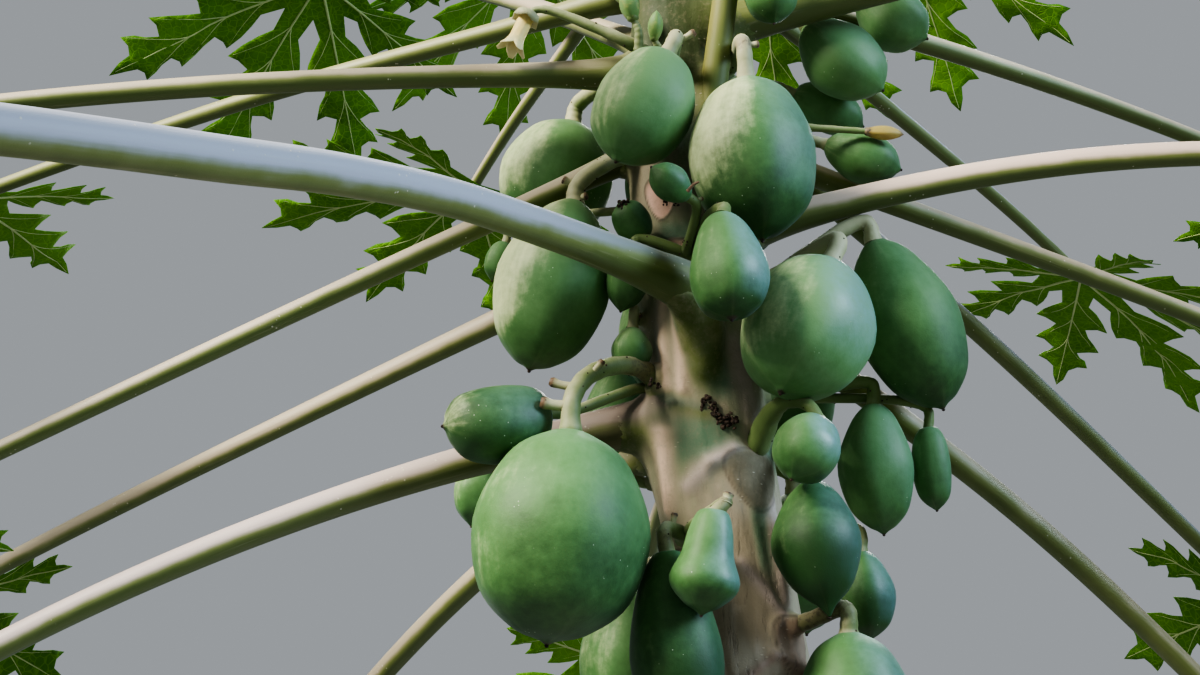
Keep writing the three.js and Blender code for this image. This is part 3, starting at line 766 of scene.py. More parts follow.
def leafStalks():
    plan = stalkPlan
    paths = []
    for leaf in allLeaves:
        line = stalkLine(leaf, 400)
        total = runOf(line)[-1]
        inside = float(trunkRadius(leaf["height"]))
        spots, along = spreadAlong(line, min(inside * plan["buried"], total * plan["buriedMost"]))
        spots += smoothWander(plan["steps"], plan["wander"] * min(1, total / 500))
        beyond = np.maximum(0, along - inside)
        thick = stalkRadius(leaf, along, total)
        if leaf["way"]:
            knots = np.array([(*point, half - deep) for point, half, deep in leaf["way"]], float)
            spots, along = spreadAlong(catmull(knots, 600), 0)
            spots, thick = spots[:, :3], spots[:, 3]
            beyond = np.maximum(0, along - plan["hugging"])
        tint = np.clip(np.array(stalkTints[leaf["tint"]]) * rng.normal(1, plan["tintSpread"]), 0, 1)
        # Towards the trunk the stalk takes its joint's colour, partly painted shade
        joint = np.exp(-(beyond / leaf["tintReach"]) ** 2)[:, None]
        tint = tint * (1 - joint) + np.array(leaf["jointTintAndShade"]) * joint
        brown, reach = leaf["stain"]
        paths.append({
            "points": spots * mm, "thick": thick * mm, "tint": np.column_stack([tint, np.ones(len(tint))]),
            "stain": brown * np.exp(-beyond / reach), "open": leaf["litMore"] * (1 - joint[:, 0]),
        })
    return paths


# Each bunch: its name, where its stalk leaves the trunk, and its fruit, as in the part's source
bunchPlan = {
    "columns": ("turn", "height", "out", "long", "wide", "lean", "towards", "form", "arch"),
    "rows": [
        ("fruit_left_pair", 205, 2042, [
            (220, 1984, 178, 192, 160, 6, 180, "round", 36),
            (207, 2005, 174, 100, 73, 80, 197, "slim", 18)]),
        ("fruit_right_pair", 350, 2152, [
            (327, 2150, 149, 150, 124, 27, 217, "round", 32),
            (353, 2196, 184, 182, 103, 20, 6, "egg", 18)]),
        ("fruit_middle_bunch", 262, 2166, [
            (276, 2171, 167, 102, 71, 8, 297, "pear", 10),
            (267, 2197, 138, 47, 34, 114, 217, "egg", 10),
            (231, 2176, 89, 67, 42, 14, 161, "egg", 4),
            (228, 2183, 74, 43, 37, 141, 218, "slim", 5)]),
        ("fruit_lower_pair", 235, 1895, [
            (235, 1877, 110, 156, 84, 6, 10, "pear", 18),
            (262, 1906, 141, 90, 62, 8, 181, "bottle", 18)]),
        ("fruit_far_right_pair", 2, 2038, [
            (356, 2032, 164, 128, 73, 4, 54, "egg", 18),
            (0, 2009, 216, 80, 38, 6, 52, "slim", 18)]),
        ("fruit_top_right_pair", 4, 2472, [
            (9, 2454, 142, 110, 79, 46, 358, "egg", 18),
            (9, 2493, 205, 86, 70, 54, 358, "egg", 18)]),
        ("fruit_right_small_pair", 15, 2385, [
            (3, 2311, 150, 82, 55, 67, 353, "egg", 18),
            (29, 2397, 152, 82, 50, 66, 8, "slim", 18)]),
        ("fruit_upper_left", 262, 2375, [
            (262, 2361, 106, 125, 96, 24, 183, "round", 18)]),
        ("fruit_upper_middle", 343, 2386, [
            (298, 2331, 125, 165, 121, 4, 0, "round", 38)]),
        ("fruit_left_behind", 150, 2400, [
            (142, 2370, 140, 136, 124, 15, 160, "round", 18)]),
        ("fruit_left_high", 205, 2285, [
            (198, 2233, 118, 180, 115, 14, 182, "egg", 18)]),
        ("fruit_right_knob", 314, 1986, [
            (308, 1993, 148, 67, 61, 31, 210, "round", 12)]),
        ("fruit_right_pointed", 326, 1965, [
            (314, 1944, 114, 126, 82, 7, 313, "pointed", 18)]),
        ("fruit_right_behind", 8, 1915, [
            (3, 1890, 131, 86, 56, 4, 50, "egg", 18)]),
        ("fruit_lowest", 318, 1815, [
            (317, 1806, 122, 132, 101, 2, 317, "round", 18)]),
        ("fruit_tucked", 205, 2112, [
            (216, 2098, 82, 46, 40, 5, 200, "egg", 18)]),
        ("fruit_far_left", 168, 1955, [
            (176, 1984, 222, 70, 48, 13, 158, "egg", 18)]),
        ("fruit_far_left_small", 166, 2240, [
            (160, 2223, 200, 42, 29, 20, 168, "slim", 18)]),
        ("fruit_top_middle", 324, 2496, [
            (318, 2480, 122, 77, 56, 4, 311, "round", 18)]),
        ("fruit_back_high_pair", 80, 2385, [
            (58, 2362, 128, 140, 100, 10, 60, "egg", 18),
            (98, 2360, 112, 96, 66, 20, 110, "egg", 18)]),
        ("fruit_back_middle", 95, 2245, [
            (93, 2222, 132, 160, 116, 8, 93, "round", 18)]),
        ("fruit_back_right", 48, 2165, [
            (45, 2140, 134, 150, 104, 8, 45, "egg", 18)]),
        ("fruit_back_left", 130, 2115, [
            (126, 2092, 134, 118, 82, 8, 130, "pear", 18)]),
        ("fruit_back_low_pair", 66, 1985, [
            (50, 1962, 138, 145, 100, 6, 45, "round", 18),
            (90, 1935, 130, 100, 66, 10, 100, "pear", 18)]),
        ("fruit_back_lowest", 140, 1880, [
            (142, 1860, 118, 140, 100, 5, 142, "round", 18)]),
    ],
}
bunchList = [
    {"name": name, "turn": turn, "height": height, "fruit": listed(bunchPlan, rows)}
    for name, turn, height, rows in bunchPlan["rows"]]

# Outlines of the fruit: share of the length from the stem end, and share of the half width
fruitForms = {
    "round": [(0.03, 0.26), (0.16, 0.7), (0.47, 1), (0.76, 0.87), (0.94, 0.44)],
    "egg": [(0.03, 0.24), (0.16, 0.62), (0.5, 1), (0.79, 0.81), (0.95, 0.38)],
    "pointed": [(0.03, 0.22), (0.18, 0.66), (0.48, 1), (0.76, 0.72), (0.94, 0.18)],
    "pear": [(0.03, 0.34), (0.2, 0.68), (0.62, 1), (0.85, 0.83), (0.965, 0.46)],
    "bottle": [(0.03, 0.44), (0.2, 0.62), (0.44, 0.74), (0.7, 1), (0.92, 0.52)],
    "slim": [(0.03, 0.5), (0.2, 0.86), (0.5, 1), (0.8, 0.85), (0.95, 0.46)],
}

fruitPlan = {
    "sides": 60, "rings": 40, "ridges": 5, "ridgeDepth": 0.017, "unevenness": 0.012,
    "nipple": 2.6, "nippleSpread": 9, "sideBend": 0.03,
    # The sides that the blush, partly painted light, and the painted sheen on the bloom lie on: which way,
    # from which turn to it, and how much at most
    "sidesThatDiffer": {"blush": ((-0.80, -0.38, 0.46), 0.36, 1), "wax": ((0.80, -0.38, 0.46), 0.36, 0.6)},
    "sideSoftness": 0.55,
}
# How the fruit of each bunch look: their green from deep at -0.5 to pale at 1, partly their own and partly
# painted shade and light, set by how much shade falls on each bunch, the pale blush on the sunny side,
# partly painted light, the painted bluish sheen on the bloom of the other side, and how pale their stalks are
fruitLooks = {
    "fruit_left_pair": ([0.15, -0.4], [0.27, 0.5], [0.1, 0.5], 0.3),
    "fruit_right_pair": ([1.5, 0.3], [0.6, 0.2], [1.05, 0.15], 0.9),
    "fruit_middle_bunch": ([0.2, -0.1, 0.2, 0], [0.2, 0.3, 0.2, 0.2], [1.1, 0.35, 0.4, 0.3], 0.05),
    "fruit_lower_pair": ([-0.5, 0.1], [0.2, 0.15], [0.2, 0.9], 0.3),
    "fruit_far_right_pair": ([0.8, 0.3], [0.2, 0.2], [0.35, 0.3], 0.05),
    "fruit_top_right_pair": ([1.5, 0.9], [0.3, 0.3], [0.35, 0.3], 0.3),
    "fruit_right_small_pair": ([0.45, 0.5], [0.3, 0.3], [0.2, 0.2], 0.5),
    "fruit_upper_left": ([1.4], [0.6], [0.15], 0.6),
    "fruit_upper_middle": ([0.1], [1.05], [0.5], 0.62),
    "fruit_left_behind": ([0.7], [1.0], [0], 0.5),
    "fruit_left_high": ([0.9], [1.15], [0], 0.7),
    "fruit_right_knob": ([0.7], [0.25], [1.35], 0),
    "fruit_right_pointed": ([-0.9], [0.2], [0.5], 0.3),
    "fruit_right_behind": ([-0.4], [0.2], [0.9], 0.4),
    "fruit_lowest": ([-0.25], [0], [0.8], 0.35),
    "usual": ([0.45, 0.25], [0.4, 0.4], [0.25, 0.25], 0.5),
}


# The stem end of a fruit and the way it hangs
def fruitSeat(fruit):
    stem = onAxis(fruit["height"]) + fruit["out"] * heading(fruit["turn"])
    lean = math.radians(fruit["lean"])
    hang = math.sin(lean) * heading(fruit["towards"]) - math.cos(lean) * np.array([0, 0, 1])
    return stem, hang


# The outline's points lie closer together at both ends
def fruitOutline(form, rings):
    knots = [(0, 0), *fruitForms[form], (1, 0)]
    spline = catmull([(down, out, 0) for down, out in knots], 400)
    lengths = runOf(spline)
    crowded = (1 - np.cos(np.linspace(0, np.pi, rings))) / 2
    wanted = lengths[-1] * (0.35 * crowded + 0.65 * np.linspace(0, 1, rings))
    down = np.interp(wanted, lengths, spline[:, 0])
    out = np.interp(wanted, lengths, spline[:, 1])
    return np.clip(down, 0, 1), np.maximum(out, 0)


def looksOf(bunch):
    return fruitLooks.get(bunch["name"], fruitLooks["usual"])


def fruitBodies():
    plan = fruitPlan
    points, faces = [], []
    values = {"skin": [], "down": [], "tone": [], "rib": [], "blush": [], "wax": []}
    turns = np.linspace(0, 2 * np.pi, plan["sides"], endpoint=False)
    for bunch in bunchList:
        tones, blushes, paintedSheens, _ = looksOf(bunch)
        for fruit, tone, blush, wax in zip(bunch["fruit"], tones, blushes, paintedSheens):
            stem, hang = fruitSeat(fruit)
            turned = np.array(Vector((0, 0, -1)).rotation_difference(Vector(hang)).to_matrix())
            down, out = fruitOutline(fruit["form"], plan["rings"])
            phase = rng.uniform(0, 2 * np.pi)
            depth = plan["ridgeDepth"] * rng.uniform(0.7, 1.3)
            rib = np.cos(plan["ridges"] * (turns - phase))
            crest = np.sign(rib) * np.abs(rib) ** 0.8
            body = np.sin(np.pi * np.clip(down, 0.02, 0.98)) ** 0.6
            swell = 1 + depth * crest[None, :] * (0.5 + 0.6 * down[:, None] + 1.4 * down[:, None] ** 6)
            for wave in (1, 2, 3):
                lump = np.cos(wave * turns + rng.uniform(0, 6.28))[None, :]
                swell = swell + plan["unevenness"] / wave * rng.normal() * lump * body[:, None]
            half = fruit["wide"] / 2 * out[:, None] * swell
            bend = fruit["wide"] * plan["sideBend"] * rng.normal() * np.sin(np.pi * down)
            nipple = np.exp(-(out * fruit["wide"] / plan["nippleSpread"]) ** 2) * (down > 0.5)
            x = half * np.cos(turns)[None, :] + bend[:, None]
            y = half * np.sin(turns)[None, :]
            z = np.broadcast_to(-(down * fruit["long"] + plan["nipple"] * nipple)[:, None], x.shape)
            local = np.stack([x, y, z], axis=2).reshape(-1, 3)
            first = len(points)
            points.extend(((local @ turned.T + stem) * mm).tolist())
            faces.extend(tuple(first + k for k in face) for face in tubeFaces(plan["rings"], plan["sides"]))
            shift = rng.uniform(0, 40)
            ring = np.broadcast_to(turns, x.shape).ravel()
            level = np.broadcast_to(down[:, None], x.shape).ravel()
            skin = np.stack([np.cos(ring) + shift, np.sin(ring), level * 3 + shift], axis=1)
            values["skin"].extend(skin.tolist())
            values["down"].extend(level)
            values["tone"].extend(np.full(level.size, tone))
            values["rib"].extend((crest[None, :] * (0.4 + 0.6 * down[:, None])).ravel())
            values["blush"].extend(np.full(level.size, blush * rng.uniform(0.8, 1)))
            values["wax"].extend(np.full(level.size, wax))
    attributes = {key: ("FLOAT_VECTOR" if key == "skin" else "FLOAT", kept) for key, kept in values.items()}
    mesh = meshOf("fruit_bodies", points, faces, attributes=attributes)
    made = tidied("fruit_bodies", mesh, skins["fruit"])
    for key, (side, least, most) in plan["sidesThatDiffer"].items():
        facing = np.clip((facingOf(made, side) - least) / plan["sideSoftness"], 0, 1)
        facing = facing * facing * (3 - 2 * facing)
        share = np.empty(len(made.data.vertices))
        made.data.attributes[key].data.foreach_get("value", share)
        share = np.clip(share * facing * most, 0, 1)
        made.data.attributes[key].data.foreach_set("value", share.astype(np.float32))
    return made


fruitStalkPlan = {
    "steps": 34, "sides": 14,
    "leastRadius": 3, "radiusShare": 0.045, "rootShare": 0.7, "leadOut": 12, "seat": 4,
    # Thicker at the fruit, at the trunk and in small knobs: how much, and over which share of the length
    "seatSwell": 0.30, "seatReach": 0.06, "rootSwell": 0.45, "rootReach": 0.12, "knobDepth": 0.07,
    "knobs": (20, 28), "wander": 0.6, "stout": {"fruit_right_knob": 1.1}, "stoutReach": 0.5,
    "slender": {"fruit_left_pair": 0.82, "fruit_upper_middle": 0.88},
}
# Fruit stalks that take a way of their own, in millimetres
stalkBends = {
    ("fruit_right_knob", 0): [(-246, -18, 1976), (-234, -40, 1984), (-224, -66, 2006), (-212, -92, 2013),
                              (-194, -112, 2006)],
    ("fruit_middle_bunch", 0): [(-292, -30, 2164), (-289, -80, 2172), (-281, -124, 2184),
                                (-270, -152, 2182)],
    ("fruit_left_pair", 0): [(-322, -26, 2040), (-343, -50, 2055), (-373, -80, 2051), (-398, -105, 2033),
                             (-409, -113, 2012)],
    ("fruit_right_pointed", 0): [(-218, -5, 1986), (-198, -20, 1990), (-186, -50, 1980), (-188, -76, 1960)],
    ("fruit_lower_pair", 1): [(-306, -40, 1894), (-303, -76, 1898), (-285, -116, 1909), (-273, -135, 1914)],
}
# Where a bunch's stalks are stained: how far along, over how much of the length, and how brown
stalkMarks = {
    "fruit_left_pair": (0.22, 0.12, 0.55), "fruit_upper_middle": (0.72, 0.05, 0.5),
    "fruit_lowest": (0.45, 0.35, 0.55), "fruit_lower_pair": (0.8, 0.12, 0.4), "usual": (0.3, 0.1, 0),
}
# Stubs of dropped flowers on the fruit stalks: how far along, which way, how long and thick
stubPlan = {
    "chance": 0.6, "curl": 0.25,
    # A stub's thickness and how brown it is, from its root to its cut end
    "swell": [1.5, 1.2, 1, 0.96, 0.96, 1, 1.12, 1.18, 0.85],
    "cut": [0, 0, 0, 0, 0, 0, 0.3, 1, 1],
    "pale": 0.8,
    "near": {
        ("fruit_left_pair", 0): [
            (0.72, (-1, 0, 0.15), 26, 4), (0.86, (-1, -0.1, 0.05), 28, 5), (0.60, (0.8, -0.3, 0.7), 20, 3)],
        ("fruit_left_high", 0): [(0.72, (-1, -0.2, 0.3), 16, 3.6), (0.92, (1, -0.5, -0.1), 14, 3.6)],
        ("fruit_right_pair", 0): [(0.80, (0.3, -1, -0.2), 8, 2.6)],
        ("fruit_lower_pair", 1): [(0.80, (0.4, 0.1, 1), 9, 4.5)],
        ("fruit_upper_left", 0): [(0.55, (0.9, -0.3, 0.3), 22, 3.5)],
    },
}


def fruitStalkRadius(fruit):
    return fruitStalkPlan["leastRadius"] + fruitStalkPlan["radiusShare"] * fruit["wide"]


# One stub on a stalk's line, with a slight curl upwards
def stubPath(line, at, way, long, thin):
    start = line[int(at * (len(line) - 1))]
    way = np.array(way) / np.linalg.norm(way)
    curl = np.array([0, 0, stubPlan["curl"] * long])
    count = len(stubPlan["swell"])
    spots = catmull([start, start + way * long * 0.6, start + way * long + curl * 0.3], count)
    return {"points": spots * mm, "thick": thin * np.array(stubPlan["swell"]) * mm,
            "pale": np.full(count, stubPlan["pale"]), "cut": np.array(stubPlan["cut"])}


def fruitStalks():
    plan = fruitStalkPlan
    paths, stubs = [], []
    share = np.linspace(0, 1, plan["steps"])
    for bunch in bunchList:
        name = bunch["name"]
        foot = onAxis(bunch["height"])
        outward = heading(bunch["turn"])
        side = float(trunkRadius(bunch["height"]))
        for order, fruit in enumerate(bunch["fruit"]):
            stem, hang = fruitSeat(fruit)
            knots = stalkBends.get((name, order)) or [
                foot + outward * side * plan["rootShare"], foot + outward * (side + plan["leadOut"]),
                stem - hang * fruit["arch"]]
            line = catmull([*knots, stem + hang * plan["seat"]], plan["steps"])
            radius = fruitStalkRadius(fruit) * plan["slender"].get(name, 1)
            thick = radius * (1 + plan["seatSwell"] * np.exp(-(1 - share) / plan["seatReach"])
                              + plan["rootSwell"] * np.exp(-share / plan["rootReach"])
                              + plan["stout"].get(name, 0) * np.exp(-(share / plan["stoutReach"]) ** 4))
            knobs = np.sin(share * rng.uniform(*plan["knobs"]) + rng.uniform(0, 6)) ** 4
            thick = thick * (1 + plan["knobDepth"] * knobs)
            line = line + smoothWander(plan["steps"], plan["wander"])
            pale = looksOf(bunch)[3] + 0.35 * (share - 0.6)
            middle, reach, brown = stalkMarks.get(name, stalkMarks["usual"])
            cut = brown * np.exp(-((share - middle) / reach) ** 2)
            paths.append({"points": line * mm, "thick": thick * mm, "pale": pale, "cut": cut})
            wanted = stubPlan["near"].get((name, order), [])
            if not wanted and rng.uniform() < stubPlan["chance"]:
                aside = np.cross(line[20] - line[18], rng.normal(0, 1, 3))
                way = tuple(aside / np.linalg.norm(aside))
                wanted = [(rng.uniform(0.45, 0.8), way, radius * 2.1, radius * 0.42)]
            stubs += [stubPath(line, *stub) for stub in wanted]
    return paths + stubs


# Leaf scars on the trunk: old ones by a rule, and those that show in the crown listed one by one
scarPlan = {
    "first": 150, "last": 1790, "pitch": 24, "turnStep": 137.5,
    "wide": 27, "tall": 17, "sink": 1.0, "rim": 1.5, "share": 0.55,
    "rimWidth": 0.13, "taper": 0.42, "squareness": 2.3, "softness": 0.035,
    "columns": ("turn", "height", "wide", "tall", "sink", "rim", "kind", "share", "dark"),
    "near": [
        (303, 1948, 27, 29, 0.4, 1.4, "disc", 1, 0.75),
        (239, 2232, 17, 23, 1.0, 1.5, "scar", 1, 1),
        (248, 2168, 20, 19, 1.0, 1.5, "scar", 1, 1),
        (312, 1793, 17, 28, -3.5, 2.4, "dry", 1, 1),
        (220, 1866, 22, 18, 1.0, 1.8, "scar", 1, 1),
        (150, 1890, 26, 20, 1.0, 1.8, "scar", 1, 1),
        (30, 1850, 26, 20, 1.0, 1.8, "scar", 1, 1),
        (85, 1905, 26, 20, 1.0, 1.8, "disc", 1, 1),
    ],
}
# Ridges on the trunk: turn and height at both ends, half width, how far out, and their colour
ridgePlan = {
    "columns": ("from", "to", "half", "out", "kind"),
    "rows": [
        ((236, 2130), (229, 2040), 7.5, 5.5, "blush"),
        ((250, 2122), (245, 2036), 7, 5.0, "blush"),
        ((221, 1994), (211, 1922), 8, 4.5, "blush"),
        ((238, 1942), (262, 1964), 8, 3.6, "taupe"),
        ((262, 1964), (285, 1976), 8, 3.6, "taupe"),
        ((303, 2080), (312, 2005), 14, 1.0, "taupe"),
        ((276, 1868), (306, 1826), 6, 4.0, "taupe"),
        ((318, 1930), (314, 1836), 7, 3.6, "taupe"),
        ((262, 1764), (292, 1786), 5, 3.5, "dry"),
        ((292, 1786), (318, 1776), 6, 3.5, "dry"),
        ((218, 2028), (262, 2012), 9, 2.6, "stem"),
    ],
}
# Green patches on the upper trunk: turn, height, half width, half height
greenPatches = [
    (256, 1986, 34, 23), (280, 2048, 14, 24), (255, 2190, 20, 14), (300, 1892, 9, 34), (330, 1990, 20, 26),
    (120, 2060, 26, 34), (60, 2120, 24, 30), (20, 1980, 22, 30), (170, 2150, 22, 30), (95, 1840, 20, 24),
]
# Where stalks flow into the trunk, in millimetres: how wide they blend, how far out a sunk one is
# followed, and the colour, thickness and length of a fruit stalk's root
rootPlan = {
    "steps": 240, "clear": 115, "blend": 15, "sunkReach": 40,
    "fruitBlend": 7, "fruitSwell": 1.36, "fruitRun": 200,
    "fruitTint": (0.16, 0.18, 0.075), "fruitShare": 0.7,
}


def scarList():
    plan = scarPlan
    scars = []
    count = int((plan["last"] - plan["first"]) / plan["pitch"])
    for k in range(count):
        height = plan["first"] + k * plan["pitch"]
        age = 1 - height / plan["last"]
        scars.append((
            k * plan["turnStep"] % 360, height + rng.normal(0, 3),
            plan["wide"] * (1 + 0.30 * age) * rng.uniform(0.9, 1.1),
            plan["tall"] * (1 + 0.20 * age) * rng.uniform(0.9, 1.1),
            plan["sink"] * (1 - 0.5 * age), plan["rim"] * (1 - 0.35 * age), "taupe", plan["share"], 1))
    return listed(plan, scars + plan["near"])


def turnBetween(turns, turn):
    return (turns - math.radians(turn) + np.pi) % (2 * np.pi) - np.pi


# Straight roots of the stalks in the trunk: from the axis outwards, how thick, and how wide they blend
def stemRoots():
    plan = rootPlan
    roots = []
    for leaf in allLeaves:
        tint = {"share": 1.0, "tint": leaf["jointTintAndShade"]}
        if leaf["way"]:
            for (top, wide, _), (foot, narrow, deep) in zip(leaf["way"][1:5], leaf["way"][:4]):
                foot, top = np.array(foot, float), np.array(top, float)
                roots.append({"from": foot, "to": top, "lengths": [0, np.linalg.norm(top - foot)],
                              "thick": [narrow, wide], "blend": plan["blend"],
                              "reach": plan["sunkReach"] if deep else plan["blend"], **tint})
            continue
        line = stalkLine(leaf, plan["steps"])
        lengths = runOf(line)
        radial = np.hypot(line[:, 0] - trunkAxis(line[:, 2]), line[:, 1])
        end = int(np.argmax(radial > plan["clear"])) or len(line) - 1
        blend = stalkPlan["blend"] * leaf["root"]
        thick = stalkRadius(leaf, lengths, lengths[-1])
        roots.append({"from": line[0], "to": line[end], "lengths": lengths, "thick": thick,
                      "blend": blend, "reach": blend, **tint})
    for bunch in bunchList:
        foot = onAxis(bunch["height"])
        reach = float(trunkRadius(bunch["height"])) + fruitStalkPlan["leadOut"]
        bend = stalkBends.get((bunch["name"], 0), [foot, foot + heading(bunch["turn"]) * reach])
        radius = fruitStalkRadius(max(bunch["fruit"], key=lambda fruit: fruit["wide"]))
        roots.append({"from": np.array(bend[0]), "to": np.array(bend[1]), "lengths": [0, plan["fruitRun"]],
                      "thick": [radius * plan["fruitSwell"]] * 2, "blend": plan["fruitBlend"],
                      "reach": plan["fruitBlend"], "share": plan["fruitShare"], "tint": plan["fruitTint"]})
    return roots


# Points round the trunk's axis, for tables of heights, turns and radii
def roundAxis(heights, turns, radius):
    x = trunkAxis(heights) + radius * np.cos(turns)
    return np.stack([x, radius * np.sin(turns), heights], axis=2)


# How far the trunk's skin rises where it flows into a root: a smooth joint of the two shapes
def risenToRoot(base, heights, turns, root):
    run = root["to"] - root["from"]
    long = np.linalg.norm(run)
    way = run / long
    blend, stride = root["blend"], trunkPlan["march"]
    raised = np.zeros(base.shape)
    rising = np.ones(base.shape, bool)
    before = None
    for step in np.arange(0, root["reach"] + stride, stride):
        radius = base + step
        spot = roundAxis(heights, turns, radius) - root["from"]
        along = np.clip(spot @ way, 0, long)
        gap = np.linalg.norm(spot - along[..., None] * way, axis=2) + trunkPlan["sunk"]
        gap -= np.interp(along, root["lengths"], root["thick"])
        mix = np.clip(blend - np.abs(step - gap), 0, None)
        level = np.minimum(step, gap) - mix ** 2 / (4 * blend)
        if before is not None:
            share = np.where(level > 0, before / np.minimum(before - level, -1e-6), 1)
            raised += rising * stride * share
            rising &= level <= 0
        before = level
    return raised


# 0 below a height and 1 from a way above it
def risenShare(heights, band):
    start, span = band
    return np.clip((heights - start) / span, 0, 1)


# How far the bark stands out at each height and turn, the masks of its marks and the colours of its joints
def trunkRelief(heights, turns):
    plan = trunkPlan
    shape = heights.shape
    out = np.zeros(shape)
    masks = {name: np.zeros(shape) for name in
             ("scar", "rim", "disc", "blush", "taupe", "stem", "dry", "patch")}
    # The dark olive of a joint that no stalk tints: partly its own, partly painted shade under the stalks
    tints = np.zeros((*shape, 4)) + (0.10, 0.105, 0.045, 1)

    def paint(name, rows, share):
        masks[name][rows] = np.maximum(masks[name][rows], share)

    def paintStem(rows, share, tint):
        part = tints[rows]
        part[share > masks["stem"][rows]] = (*tint, 1)
        tints[rows] = part
        paint("stem", rows, share)

    radius = trunkRadius(heights)
    for scar in scarList():
        near = np.abs(heights[:, 0] - scar["height"]) < scar["tall"] * 2.4
        level = heights[near] - scar["height"]
        aside = turnBetween(turns[near], scar["turn"]) * radius[near]
        narrow = 1 + scarPlan["taper"] * np.clip(level / scar["tall"], -1, 1)
        power = scarPlan["squareness"]
        across = np.abs(aside / (scar["wide"] * narrow)) ** power
        apart = (across + np.abs(level / scar["tall"]) ** power) ** (1 / power)
        inside = 1 / (1 + np.exp((apart - 0.96) / scarPlan["softness"]))
        rim = np.exp(-((apart - 1) / scarPlan["rimWidth"]) ** 2)
        out[near] += rim * scar["rim"] - inside * scar["sink"]
        paint(scar["kind"], near, inside * scar["share"])
        # The dark line round the scar, partly painted shadow at its edge
        paint("rim", near, np.exp(-((apart - 1.03) / 0.06) ** 2) * scar["share"] * scar["dark"])
    for leaf in allLeaves:
        side = float(trunkRadius(leaf["height"]))
        foot = leaf["height"] + side * math.tan(math.radians(leaf["rise"]))
        level = heights - foot
        aside = turnBetween(turns, leaf["turn"]) * radius
        below = np.clip(-level, 0, None)
        above = np.exp(-(level / plan["cushionRise"]) ** 2)
        fade = np.where(level < 0, np.exp(-(below / plan["cushionDrop"]) ** 1.4), above)
        half = leaf["root"] * (0.58 - 0.22 * np.clip(below / 110, 0, 1))
        cushion = fade * np.exp(-(aside / half) ** 2)
        out += leaf["cushion"] * leaf["root"] * cushion
        # The cushion takes the joint's colour, partly painted shade
        paintStem(slice(None), cushion * 0.6, leaf["jointTintAndShade"])
    for ridge in listed(ridgePlan, ridgePlan["rows"]):
        (turnTop, top), (turnFoot, foot) = ridge["from"], ridge["to"]
        near = np.abs(heights[:, 0] - (top + foot) / 2) < abs(top - foot) / 2 + 60
        run = np.array([math.radians(turnFoot - turnTop) * plan["neckRadius"], foot - top])
        x = turnBetween(turns[near], turnTop) * plan["neckRadius"]
        y = heights[near] - top
        along = np.clip((x * run[0] + y * run[1]) / (run @ run), 0, 1)
        gap = np.hypot(x - along * run[0], y - along * run[1])
        crest = np.exp(-(gap / ridge["half"]) ** 2)
        out[near] += ridge["out"] * crest
        paint(ridge["kind"], near, crest)
    for turn, height, wide, tall in greenPatches:
        near = np.abs(heights[:, 0] - height) < tall * 2.5
        aside = turnBetween(turns[near], turn) * radius[near]
        paint("patch", near, np.exp(-(aside / wide) ** 4 - ((heights[near] - height) / tall) ** 4))
    # Slow swellings and fine upright furrows, then the joints with the stalks
    young = risenShare(heights, plan["young"])
    for wave in range(1, 6):
        phase = rng.uniform(0, 6.28, 2)
        around = np.sin(wave * turns + phase[0] + heights * rng.uniform(0.002, 0.006))
        out += plan["swellings"] / wave * around * np.sin(heights * 0.011 * wave + phase[1])
    for wave in plan["furrows"]:
        phase = rng.uniform(0, 6.28)
        winding = 2.2 * np.sin(heights * 0.013 + phase)
        out += (plan["furrowDepth"] - 0.2 * young) * np.sin(wave * turns + winding + phase)
    out += (plan["discHeight"] - 0.85 * out) * masks["disc"]
    for root in stemRoots():
        ends = sorted((root["from"][2], root["to"][2]))
        near = (heights[:, 0] > ends[0] - 80) & (heights[:, 0] < ends[1] + 80)
        raised = risenToRoot(radius[near] + out[near], heights[near], turns[near], root)
        out[near] += raised
        paintStem(near, np.clip(raised / (0.35 * root["blend"]), 0, 1) * root["share"], root["tint"])
    return out, masks, tints


def trunkBark():
    plan = trunkPlan
    coarse = np.arange(0, plan["fineFrom"], plan["coarseStep"])
    fine = np.arange(plan["fineFrom"], plan["height"] - 1, plan["fineStep"])
    levels = np.concatenate([coarse, fine, [plan["height"] - 1]])
    turns = np.linspace(0, 2 * np.pi, plan["sides"], endpoint=False)
    heights, around = np.meshgrid(levels, turns, indexing="ij")
    flare = plan["flareReach"] * np.exp(-heights / plan["flareHeight"])
    ridge = 1 + plan["flareRidgeDepth"] * np.cos(plan["flareRidges"] * around)
    relief, masks, tints = trunkRelief(heights, around)
    radius = trunkRadius(heights) + flare * ridge + relief
    toTip = ((heights - (plan["height"] - plan["roundTip"])) / (plan["roundTip"] + 1)).clip(0, 1)
    radius = radius * np.sqrt(np.clip(1 - toTip ** 2, 0.02, 1))
    points = roundAxis(heights, around, radius)
    faces = closedTube(len(levels), plan["sides"])
    young = risenShare(heights, plan["young"]) + risenShare(heights, plan["freshAndShaded"])
    values = {"young": ("FLOAT", young), "tint": ("FLOAT_COLOR", tints),
              **{key: ("FLOAT", value) for key, value in masks.items()}}
    mesh = meshOf("trunk_bark", points.reshape(-1, 3) * mm, faces, attributes=values)
    made = tidied("trunk_bark", mesh, skins["bark"])
    flat = np.array([len(face.vertices) > 4 for face in mesh.polygons])
    mesh.polygons.foreach_set("use_smooth", ~flat)
    return made


